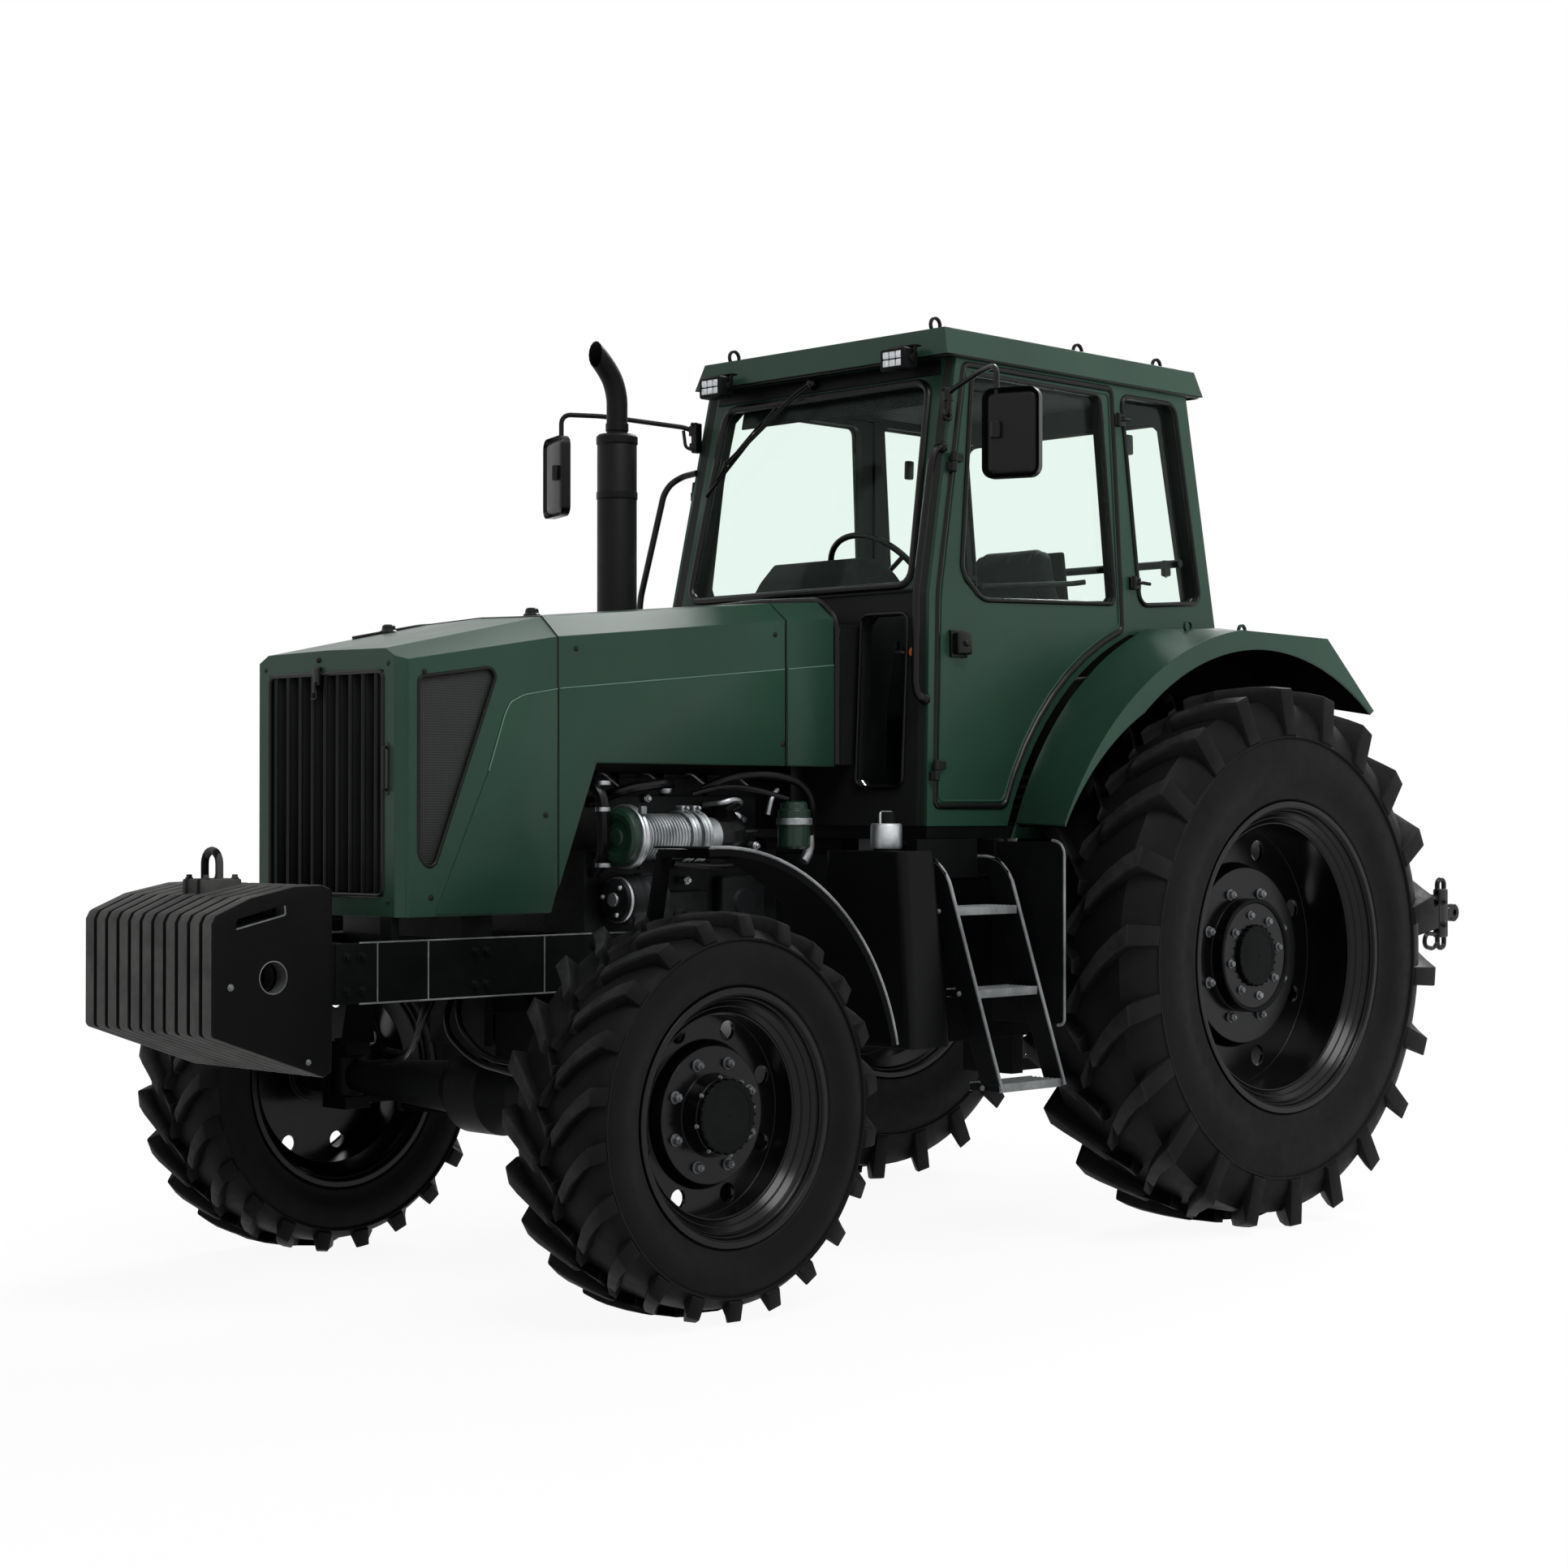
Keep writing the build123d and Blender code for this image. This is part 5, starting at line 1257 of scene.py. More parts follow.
for low, high in ((0.424, 0.456), (0.47, 0.504)):
    clampRows.append(lathe(
        [
            (low, 0.058), (low, 0.074), (low + 0.004, 0.078), (low + 0.01, 0.073),
            ((low + high) / 2, 0.076), (high - 0.01, 0.073), (high - 0.004, 0.078), (high, 0.074),
            (high, 0.058)
        ],
        core, "Y", 48
    ))
    clampRows.append(block(
        core + Vector((-0.012, low + 0.004, 0.074)), core + Vector((0.02, high - 0.004, 0.092)), 0.004
    ))
    clampRows.append(disc(core + Vector((0.024, (low + high) / 2, 0.084)), "X", 0.006, 0.022))
rimBolt = block(core + Vector((0.06, 0.216, 0.066)), core + Vector((0.078, 0.238, 0.09)), 0.004)
finished([drum, rimBolt] + clampRows, "air_cleaner", silver, "chassis", ["engine_fittings"])
elbow = tube(
    [
        core + Vector((0, 0.54, 0)), core + Vector((0, 0.64, 0)), core + Vector((-0.06, 0.69, 0.02)),
        core + Vector((-0.13, 0.7, 0.06))
    ],
    0.054, 0.05
)
hoses = [
    elbow,
    tube(
        [
            (0.25, 0.6, 1.42), (0.3, 0.68, 1.462), (0.32, 0.82, 1.468), (0.335, 0.95, 1.44),
            (0.338, 0.995, 1.36), (0.3, 1.01, 1.28)
        ],
        0.013, 0.06
    ),
    tube([(0.25, 0.56, 1.405), (0.29, 0.64, 1.43), (0.3, 0.76, 1.425), (0.336, 0.88, 1.392)], 0.009, 0.05),
    tube([(0.18, 0.22, 1.38), (0.29, 0.26, 1.42), (0.3, 0.42, 1.44), (0.2, 0.52, 1.43)], 0.016, 0.05),
    tube([(0.24, 0.18, 1.18), (0.3, 0.17, 1.22), (0.31, 0.15, 1.42), (0.2, 0.14, 1.46)], 0.019, 0.05),
    tube([(0.34, 0.4, 1.205), (0.345, 0.56, 1.19), (0.32, 0.8, 1.2), (0.3, 0.93, 1.15)], 0.01, 0.05),
    tube(
        [
            (0.24, 0.64, 1.29), (0.33, 0.65, 1.292), (0.336, 0.7, 1.292), (0.33, 0.76, 1.292),
            (0.24, 0.77, 1.29)
        ],
        0.011, 0.03
    )
]
finished(hoses, "engine_hoses", sealRubber)
canCentre = place(0.338, 0.905, 1.24)
canPart = lathe(
    [
        (0, 0), (0, 0.04), (0.008, 0.05), (0.072, 0.05), (0.076, 0.053), (0.092, 0.053), (0.096, 0.05),
        (0.118, 0.05), (0.122, 0.042), (0.14, 0.04), (0.146, 0.03), (0.146, 0)
    ],
    canCentre, "Z", 40
)
finished(canPart, "fuel_filter", filterGreen, "chassis")
canBand = lathe([(0.074, 0.049), (0.074, 0.055), (0.094, 0.055), (0.094, 0.049)], canCentre, "Z", 40)
metalBits = [
    canBand,
    tube([(0.31, 0.82, 1.345), (0.322, 0.825, 1.4), (0.31, 0.86, 1.42)], 0.008, 0.02),
    lathe(
        [(0, 0.018), (0.01, 0.022), (0.022, 0.022), (0.026, 0.016), (0.034, 0.014), (0.034, 0)],
        (0.25, 0.45, 1.408), "Z", 24
    )
]
for back in (0.3, 0.48, 0.66, 0.84):
    metalBits.append(boltHead((0.178, back, 1.33), (1, 0, 0), 0.01, 0.01))
    metalBits.append(tube(
        [(0.12, back - 0.03, 1.452), (0.165, back - 0.03, 1.474), (0.205, back + 0.02, 1.42)], 0.0045, 0.02
    ))
finished(metalBits, "engine_metal_bits", silver, "chassis")
genCentre = place(0.316, 0.19, 1.1)
genParts = [lathe(
    [
        (0, 0), (0, 0.034), (0.003, 0.06), (0.02, 0.064), (0.026, 0.072), (0.06, 0.074), (0.066, 0.07),
        (0.08, 0.07), (0.086, 0.074), (0.14, 0.074), (0.15, 0.064), (0.17, 0.058), (0.17, 0)
    ],
    genCentre, "Y", 48
)]
genParts += [
    block(genCentre + Vector((-0.08, 0.06, -0.028)), genCentre + Vector((-0.05, 0.11, 0.028)), 0.005)
]
fin = block(genCentre + Vector((0.062, 0.092, -0.003)), genCentre + Vector((0.078, 0.136, 0.003)), 0.001)
genParts.append(ringOf(fin, genCentre, 18, "Y"))
finished(genParts, "alternator", engineDark, "chassis")
silverBits = [
    lathe([(0.012, 0.06), (0.012, 0.067), (0.02, 0.067), (0.02, 0.06)], genCentre, "Y", 48),
    lathe([(-0.006, 0), (-0.006, 0.02), (0.001, 0.022), (0.001, 0)], genCentre, "Y", 24)
]
for n in range(3):
    silverBits.append(boltHead(
        genCentre + turned((0, 0, 0), "Y", 40 + n * 120) @ Vector((0, 0, 0.046)), (0, -1, 0), 0.006, 0.005
    ))
for x, back, z in (
        (0.262, 0.3, 1.3), (0.262, 0.36, 1.392), (0.268, 0.72, 1.34), (0.268, 0.8, 1.25),
        (0.262, 0.52, 1.15)
):
    silverBits.append(disc((x, back, z), "X", 0.013, 0.03, 0.003, 20))
    silverBits.append(boltHead((x + 0.014, back, z), (1, 0, 0), 0.008, 0.007))
for z in (1.212, 1.372, 1.448):
    silverBits.append(lathe(
        [(-0.006, 0.0205), (-0.006, 0.0225), (0.006, 0.0225), (0.006, 0.0205), (-0.006, 0.0205)],
        (0.306, 0.158, z - 0.012), "Z", 24
    ))
silverBits.append(tube(
    [
        (0.27, 0.59, 1.372), (0.345, 0.6, 1.38), (0.352, 0.64, 1.392), (0.345, 0.68, 1.38),
        (0.27, 0.69, 1.36)
    ],
    0.0085, 0.03
))
silverBits.append(tube([(0.3, 1.01, 1.29), (0.3, 1.012, 1.23), (0.3, 0.985, 1.2)], 0.015, 0.03))
finished(silverBits, "engine_fasteners", silver, "chassis")
castings = []
for n in range(4):
    low = 0.18 + n * 0.18
    castings.append(block((-0.112, low + 0.006, 1.452), (0.142, low + 0.154, 1.47), 0.006))
    castings.append(disc((0.02, low + 0.08, 1.474), "Z", 0.014, 0.014))
for back in (0.22, 0.36, 0.5, 0.64, 0.78, 0.9):
    castings += [boltHead((0.234, back, z), (1, 0, 0), 0.01, 0.01) for z in (0.87, 1.195)]
castings += [
    block((0.228, 0.4, 0.95), (0.262, 0.62, 1.12), 0.01, 3),
    block((0.228, 0.66, 1.0), (0.28, 0.84, 1.16), 0.014, 3),
    disc((0.262, 0.75, 1.08), "X", 0.045, 0.05, 0.006),
    block((-0.19, 0.08, 1.44), (0.06, 1.02, 1.6), 0.02, 3),
    block((-0.15, 1.0, 1.3), (0.23, 1.06, 1.62), 0.01)
]
finished(castings, "engine_castings", engineDark, "chassis")
print("engine side done")

# exhaust collars
stack = place(-0.41, 0.85, 0)
collars = [
    lathe([(1.752, 0.03), (1.752, 0.058), (1.766, 0.0655), (1.79, 0.0655), (1.792, 0.064)], stack, "Z", 40),
    lathe([(2.535, 0.0642), (2.538, 0.067), (2.56, 0.067), (2.568, 0.06), (2.57, 0.034)], stack, "Z", 40),
    lathe([(2.58, 0.032), (2.58, 0.037), (2.604, 0.037), (2.604, 0.032)], stack, "Z", 32),
    block(stack + Vector((-0.064, -0.03, 1.8)), stack + Vector((-0.02, 0.03, 1.85)), 0.004)
]
for z in (1.96, 2.36):
    collars.append(
        lathe([(z, 0.0635), (z, 0.0665), (z + 0.022, 0.0665), (z + 0.022, 0.0635)], stack, "Z", 40)
    )
    collars.append(
        block(stack + Vector((-0.084, -0.012, z)), stack + Vector((-0.058, 0.012, z + 0.022)), 0.002)
    )
finished(collars, "exhaust_collars", stackBlack)
muffler = lathe(
    [(1.78, 0), (1.78, 0.05), (1.8, 0.064), (2.545, 0.064), (2.568, 0.05), (2.568, 0)], stack, "Z", 56
)
riser = tube(
    [stack + Vector((0.2, 0, 1.345)), stack + Vector((0, 0, 1.345)), stack + Vector((0, 0, 1.79))],
    0.042, 0.1
)
tip = tube(
    [stack + Vector((0, y, z)) for y, z in ((0, 2.56), (0, 2.715), (-0.052, 2.79), (-0.135, 2.85))],
    0.034, 0.075, sides=6
)
edit(tip)
bpy.ops.mesh.bisect(plane_co=stack + Vector((0, -0.092, 2.8)), plane_no=(0, -1, 0), clear_outer=True)
done(tip)
modified(tip, "SOLIDIFY", thickness=0.003, offset=-1)
finished([muffler, riser, tip], "exhaust_stack", stackBlack, "chassis", ["exhaust"])

# seat: padded cushion, back and arm rests
def padShape(low, high, edge, lean=0.0):
    low, high = Vector(low), Vector(high)
    obj = block(low, high, edge, 5)
    if lean:
        obj.data.transform(turned((0, (low.y + high.y) / 2, low.z), "X", lean))
    return obj


def inflate(obj, voxel=0.006, pressure=4.0, cap=0.01):
    # the pad is stuffed: remeshed, blown up as cloth, and held to a small swell
    modified(obj, "REMESH", mode="VOXEL", voxel_size=voxel)
    rest = [v.co.copy() for v in obj.data.vertices]
    stuffing = obj.modifiers.new("stuffing", "CLOTH")
    stuffing.settings.use_pressure = True
    stuffing.settings.uniform_pressure_force = pressure
    stuffing.settings.effector_weights.gravity = 0
    for number in range(1, 21):
        bpy.context.scene.frame_set(number)
    grab(obj)
    bpy.ops.object.modifier_apply(modifier="stuffing")
    for v, start in zip(obj.data.vertices, rest):
        shift = v.co - start
        if shift.length > cap:
            v.co = start + shift.normalized() * cap
    bpy.context.scene.frame_set(1)
    return modified(obj, "SUBSURF", levels=1, render_levels=1)


def pressSeams(obj, lines, width=0.01, depth=0.007):
    # sewn channels: points near each plane sink towards the pad's middle
    middle = sum((v.co for v in obj.data.vertices), Vector()) / len(obj.data.vertices)
    for v in obj.data.vertices:
        sink = 0.0
        for axis, level in lines:
            sink = max(sink, math.exp(-((v.co[axis] - level) / width) ** 2))
        if sink > 0.01:
            reach = middle - v.co
            inward = Vector((0, 0, reach.z)) if abs(reach.z) > abs(reach.y) else Vector((0, reach.y, 0))
            v.co += inward.normalized() * sink * depth
    return obj


cushion = inflate(padShape(place(-0.218, 1.972, 1.772), place(0.218, 2.352, 1.852), 0.032))
pressSeams(cushion, [(0, -0.135), (0, 0.135), (1, axleY + 2.11), (1, axleY + 2.23)])
finished(cushion, "seat_cushion", seatCloth, "chassis", ["cab_inside"], 60)
backPad = padShape(place(-0.212, 2.352, 1.852), place(0.212, 2.428, 2.276), 0.036, 8)
for v in backPad.data.vertices:
    v.co.x *= 1 - 0.36 * max(0.0, min(1.0, (v.co.z - 2.08) / 0.22)) ** 1.3
inflate(backPad)
pressSeams(backPad, [(0, -0.125), (0, 0.125), (2, 2.0), (2, 2.13)])
finished(backPad, "seat_back", seatCloth, "chassis", (), 60)
print("seat padding done")

frameParts = [
    block((-0.205, 1.995, 1.69), (0.205, 2.365, 1.764), 0.014, 3),
    block((-0.17, 2.03, 1.575), (0.17, 2.33, 1.605), 0.008),
    block((-0.165, 2.02, 1.309), (0.165, 2.34, 1.372), 0.008)
]
bellows = [(0, 0), (0, 0.165)]
for n in range(6):
    bellows += [(0.012 + n * 0.034, 0.15), (0.029 + n * 0.034, 0.168)]
bellows += [(0.206, 0.15), (0.206, 0)]
frameParts.append(lathe(bellows, (0, 2.18, 1.37), "Z", 4))
for x in (-0.232, 0.232):
    frameParts.append(block((x - 0.02, 2.08, 1.985), (x + 0.02, 2.375, 2.02), 0.014, 3))
    frameParts.append(
        tube([(x, 2.34, 1.99), (x, 2.372, 1.9), (x, 2.34, 1.78), (x * 0.85, 2.3, 1.74)], 0.012, 0.03)
    )
backShell = block((-0.196, 2.418, 1.9), (0.196, 2.44, 2.25), 0.01, 3)
backShell.data.transform(turned(place(0, 2.39, 1.852), "X", 8))
frameParts.append(backShell)
finished(frameParts, "seat_frame", liningGrey, "chassis")

# dashboard hood, column, wheel, console and levers
hoodLine = [
    (1.27, 1.905), (1.286, 2.05), (1.306, 2.112), (1.352, 2.168), (1.44, 2.164), (1.5, 2.13), (1.56, 2.03),
    (1.552, 1.96), (1.44, 1.89), (1.4, 1.7), (1.392, 1.312), (1.3, 1.312), (1.3, 1.905)
]
hood = slab([(-0.272, y, z) for y, z in hoodLine], (0.544, 0, 0), 0.016, 0.012)
for v in hood.data.vertices:
    rise = max(0.0, min(1.0, (v.co.z - 1.98) / 0.16))
    v.co.x *= 1 - 0.26 * rise
dials = []
tilt = Vector((0, 0.86, 0.51)).normalized()
for x in (-0.105, 0.0, 0.105):
    dials.append(lathe(
        [(0, 0.04), (0.01, 0.04), (0.013, 0.037), (0.009, 0.034), (0.006, 0)], (x, 1.53, 2.06), tilt, 36
    ))
finished(dials, "dash_dials", sealRubber)
finished(hood, "dashboard", liningGrey, "chassis")
wheelAxis = Vector((0, 0.168, 0.138)).normalized()
columnFoot, columnTop = place(0, 1.46, 1.96), place(0, 1.628, 2.098)
columnLength = (columnTop - columnFoot).length
columnPart = lathe(
    [
        (0, 0), (0, 0.052), (0.03, 0.046), (0.06, 0.044), (0.07, 0.032), (columnLength * 0.8, 0.028),
        (columnLength * 0.86, 0.036), (columnLength - 0.002, 0.036), (columnLength - 0.002, 0)
    ],
    columnFoot, wheelAxis, 32
)
stalks = [
    tube(
        [
            columnTop - wheelAxis * 0.045,
            columnTop - wheelAxis * 0.04 + Vector((side * 0.1, 0.01, 0.02)),
            columnTop - wheelAxis * 0.03 + Vector((side * 0.145, 0.01, 0.03))
        ],
        0.006, 0.02
    )
    for side in (-1, 1)
]
finished([columnPart] + stalks, "steering_column", sealRubber)
hubSpot = columnTop + wheelAxis * 0.0003
ringSpot = hubSpot + wheelAxis * 0.028
acrossWheel = Vector((1, 0, 0))
upWheel = wheelAxis.cross(acrossWheel).normalized()


def onWheel(angle, radius, lift=0.0):
    a = math.radians(angle)
    return ringSpot + acrossWheel * radius * math.cos(a) + upWheel * radius * math.sin(a) + wheelAxis * lift


rimPart = tube([onWheel(a, 0.19) for a in range(0, 360, 5)], 0.0105, 0, closed=True, sides=4)
spokes = [
    tube([onWheel(a, 0.186), onWheel(a, 0.12, -0.006), onWheel(a, 0.03, -0.01)], 0.0085, 0.03)
    for a in (90, 210, 330)
]
hubPart = lathe(
    [(0.001, 0), (0.001, 0.03), (0.018, 0.034), (0.034, 0.034), (0.04, 0.028), (0.042, 0)],
    hubSpot, wheelAxis, 32
)
finished(
    [rimPart, hubPart] + spokes, "steering_ring", sealRubber, "wheel_in_hand",
    ["steering_wheel"]
)

consoles = {
    -0.5: [(1.9, 1.312), (2.46, 1.312), (2.5, 1.8), (2.44, 1.9), (2.1, 1.92), (1.94, 1.84)],
    0.35: [(2.02, 1.312), (2.46, 1.312), (2.5, 1.74), (2.44, 1.8), (2.1, 1.8), (2.04, 1.72)]
}
consoleParts = [
    slab([(x, y, z) for y, z in rows], (0.15, 0, 0), 0.014, 0.02, 3) for x, rows in consoles.items()
]
finished(consoleParts, "side_consoles", liningGrey, "chassis")
leverParts = []
for x, back, top, leanBack in (
        (-0.46, 2.02, 2.1, 0.02), (-0.42, 2.06, 2.08, 0.02), (-0.38, 2.1, 2.06, 0.03),
        (-0.43, 2.22, 2.14, -0.03), (-0.39, 2.3, 2.02, 0.02)
):
    leverParts.append(
        lathe([(0, 0.026), (0.01, 0.024), (0.022, 0.016), (0.026, 0)], (x, back, 1.905), "Z", 20)
    )
    leverParts.append(tube([(x, back, 1.9), (x, back + leanBack, top)], 0.0055))
    leverParts.append(lathe(
        [(-0.03, 0), (-0.03, 0.007), (-0.01, 0.011), (0.012, 0.015), (0.024, 0.012), (0.028, 0)],
        (x, back + leanBack, top), "Z", 20
    ))
for x, back in ((-0.15, 1.4), (-0.07, 1.4), (0.13, 1.4)):
    leverParts.append(
        tube([(x, back - 0.01, 1.52), (x, back + 0.05, 1.42), (x, back + 0.085, 1.395)], 0.008, 0.03)
    )
    leverParts.append(block((x - 0.03, back + 0.07, 1.392), (x + 0.03, back + 0.14, 1.402), 0.004))
finished(leverParts, "levers_pedals", sealRubber)
rearBar = tube([(-0.56, 2.555, 2.2), (0.56, 2.555, 2.2)], 0.014)
finished(rearBar, "rear_grab_bar", sealRubber)
floorMat = block((-0.52, 1.3, 1.3095), (0.52, 2.64, 1.316), 0.003)
matRibs = [
    block((-0.5 + n * 0.05, 1.44, 1.315), (-0.488 + n * 0.05, 1.96, 1.3185), 0.001) for n in range(21)
]
finished([floorMat] + matRibs, "floor_mat", sealRubber)
lining = block((-0.48, 1.49, 2.758), (0.48, 2.52, 2.7775), 0.008, 3)
hatch = block((-0.22, 1.74, 2.75), (0.22, 2.2, 2.76), 0.006)
visor = slab(
    [screenPoint(x, up, -0.06) for x, up in ((-0.44, 0.7), (0.44, 0.7), (0.44, 0.64), (-0.44, 0.64))],
    screenPoint(0, 0, -0.066) - screenPoint(0, 0, -0.06),
    0.002
)
radio = block((0.2, 1.56, 2.7), (0.42, 1.64, 2.757), 0.008)
finished([lining, hatch, visor, radio], "roof_lining", liningGrey, "chassis")
for side, obj in pair(onWall(
        joined([
            tube(
                [(-0.045, 1.56, 2.07), (-0.085, 1.57, 2.072), (-0.085, 2.06, 2.11), (-0.045, 2.07, 2.112)],
                0.009, 0.02
            ),
            block((-0.052, 1.34, 1.45), (-0.036, 1.6, 1.92), 0.006),
            block((-0.066, 1.36, 1.86), (-0.036, 1.42, 1.92), 0.006)
        ])
)):
    finished(obj, "door_inner_" + side, liningGrey, "door_" + side[0])
print("cab interior done")

# roof: the eye bolts' feet and the seal along the edge
eyes = [(0.455, 1.42), (-0.455, 1.42), (0.455, 2.13), (0.455, 2.56), (-0.455, 2.56)]
eyeFoot = [(-0.002, 0.02), (0.004, 0.02), (0.006, 0.017), (0.006, 0)]
finished([lathe(eyeFoot, (x, back, 2.866), "Z", 24) for x, back in eyes], "roof_eye_feet", sealRubber)
drip = [(0.566, 1.36), (0.566, 2.658), (-0.566, 2.658), (-0.566, 1.36)]
finished(tube([(x, y, 2.7765) for x, y in drip], 0.005, 0.02, closed=True), "roof_seal", sealRubber)

# steps: serrated treads with folded lips, and painted highlights along the rails' edges
railTop, railFoot = (0.735, 1.19), (0.95, 0.545)
treads = []
for z in (1.066, 0.822, 0.548):
    x = railTop[0] + (railFoot[0] - railTop[0]) * (railTop[1] - z) / (railTop[1] - railFoot[1])
    tooth = lathe(
        [(0, 0.0042), (0.003, 0.0042), (0.0045, 0.002), (0.0045, 0)], (x - 0.1, 1.156, z - 0.0025), "Z", 6
    )
    rows = [moved(y=n * 0.0123) for n in range(22)]
    line = copied(tooth, rows)
    treads.append(copied(line, [moved(x=m * 0.0165) for m in range(7)]))
    for near, far in ((0.003, 0.0075), (-0.112, -0.108)):
        treads.append(block((x + near, 1.141, z - 0.024), (x + far, 1.429, z + 0.0015), 0.0015))
    for back in (1.134, 1.436):
        out = (0, -1, 0) if back < 1.2 else (0, 1, 0)
        treads.append(
            boltHead((x - 0.052, back + (0.0005 if back > 1.2 else -0.0005), z - 0.012), out, 0.006, 0.005)
        )
# painted highlights: pale tubes along the step rails' edges and the grab rail
for back in (1.14, 1.43):
    treads.append(tube(
        [(0.6, back, 1.2145), (0.69, back, 1.2145), (0.752, back, 1.168), (0.9665, back, 0.53)],
        0.0062, 0.05
    ))
treads.append(tube(
    [
        (0.88, 1.478, 1.266), (0.904, 1.478, 1.264), (0.927, 1.478, 1.24), (0.927, 1.478, 0.706),
        (0.9, 1.478, 0.7035)
    ],
    0.0045, 0.02
))
finished(both(treads), "step_treads", wearAndHighlightEdge, "chassis")

# frame, axle and weights: bolt heads and hoses
bolts = []
for back in (-0.74, -0.69, -0.31, -0.27, 0.13, 0.18, 0.72, 0.88):
    for z in (0.88, 0.97):
        bolts.append(boltHead((0.306, back, z), (1, 0, 0), 0.01, 0.01))
for n in range(8):
    a = math.radians(n * 45 + 22)
    bolts.append(
        boltHead((0.0705, math.cos(a) * 0.108, 0.545 + math.sin(a) * 0.108), (1, 0, 0), 0.008, 0.008)
    )
finished(both(bolts), "frame_bolts", frameBlack, "chassis")
axleHoses = [
    tube(
        [
            (0.06, -0.14, 0.9), (0.08, -0.2, 0.76), (0.16, -0.16, 0.66), (0.3, -0.1, 0.64),
            (0.42, -0.06, 0.64)
        ],
        0.009, 0.05
    ),
    tube(
        [
            (0.03, -0.14, 0.9), (0.05, -0.22, 0.74), (0.15, -0.19, 0.65), (0.3, -0.13, 0.615),
            (0.43, -0.09, 0.6)
        ],
        0.009, 0.05
    )
]
finished(both(axleHoses), "axle_hoses", sealRubber)

# front weights: bevelled plates with a lifting slot and a pin hole
outline = [
    (-1.157, 0.785), (-1.157, 1.068), (-1.145, 1.09), (-1.039, 1.133), (-0.901, 1.16), (-0.816, 1.162),
    (-0.78, 1.15), (-0.78, 0.67), (-0.808, 0.655), (-1.15, 0.778)
]
plateHalf = 0.0235
plate = slab([(-plateHalf, y, z) for y, z in outline], (2 * plateHalf, 0, 0), 0.0085)
slot = slab(
    [(-0.05, y, z) for y, z in ((-1.085, 1.052), (-1.08, 1.078), (-0.935, 1.112), (-0.93, 1.084))],
    (0.1, 0, 0), 0, 0.008
)
bore = disc((0, -0.969, 0.925), "X", 0.042, 0.1, 0.0005, 40)
for cutter in (slot, bore):
    modified(plate, "BOOLEAN", operation="DIFFERENCE", object=cutter, solver="EXACT")
    bpy.data.objects.remove(cutter)
plates = copied(plate, [moved(x=(n - 5) * 0.0556) for n in range(11)])
lift = [
    block((-0.052, -1.015, 1.128), (0.052, -0.895, 1.176), 0.006),
    tube(
        [(-0.034, -0.955, 1.17), (-0.034, -0.955, 1.25), (0.034, -0.955, 1.25), (0.034, -0.955, 1.17)],
        0.011, 0.034
    )
]
for x in (-0.04, 0.04):
    for back in (-1.0, -0.91):
        lift.append(boltHead((x, back, 1.176), (0, 0, 1), 0.008, 0.008))
finished([plates] + lift, "weight_plates", weightFaces, "chassis", ["front_weights"])
# painted highlights: pale strips along the frame's and the weight's edges and round the pin hole, bolt
# heads in the same finish
paleMarks = [
    tube([(0.3018, -1.083, 1.053), (0.3018, -0.932, 1.086), (0.3018, -0.934, 1.11)], 0.0022, 0.006),
    lathe(
        [(0, 0.0405), (0, 0.044), (0.0016, 0.0432), (0.0016, 0.0412), (0, 0.0405)],
        (0.3012, -0.969, 0.925), "X", 48
    ),
    boltHead((0.3015, -1.1, 0.905), (1, 0, 0), 0.007, 0.005),
    boltHead((0.3015, -0.86, 0.7), (1, 0, 0), 0.006, 0.005)
]
for z in (1.006, 0.845):
    paleMarks.append(tube([(0.3062, -0.7, z), (0.3062, 0.9, z)], 0.0024))
for back in (-0.64, -0.47, -0.06):
    paleMarks.append(tube([(0.3062, back, 0.847), (0.3062, back, 1.004)], 0.0022))
finished(both(paleMarks), "frame_edge_highlights", wearAndHighlightEdge, "chassis")

# rear linkage: flat links, end plates with loops, and a ball end
links = {
    "pivot": (0.36, 2.846, 0.62), "end": (0.49, 4.006, 0.905), "plate": (4.206, 4.27), "share": 0.42,
    "x": 0.534
}


def linkBar(start, end, depth, thick):
    (ax, ay, az), (bx, by, bz) = start, end
    obj = slab(
        [(0, ay, az - depth), (0, by, bz - depth), (0, by, bz + depth), (0, ay, az + depth)],
        (thick, 0, 0), 0.003
    )
    for v in obj.data.vertices:
        v.co.x += ax - thick / 2 + (bx - ax) * (v.co.y - axleY - ay) / (by - ay)
    return obj


def ringEye(centre, outer, bore, thick, axis="X"):
    half = thick / 2
    return lathe(
        [
            (-half, bore), (-half, outer - 0.003), (-half + 0.003, outer), (half - 0.003, outer),
            (half, outer - 0.003), (half, bore), (-half, bore)
        ],
        centre, axis, 36
    )


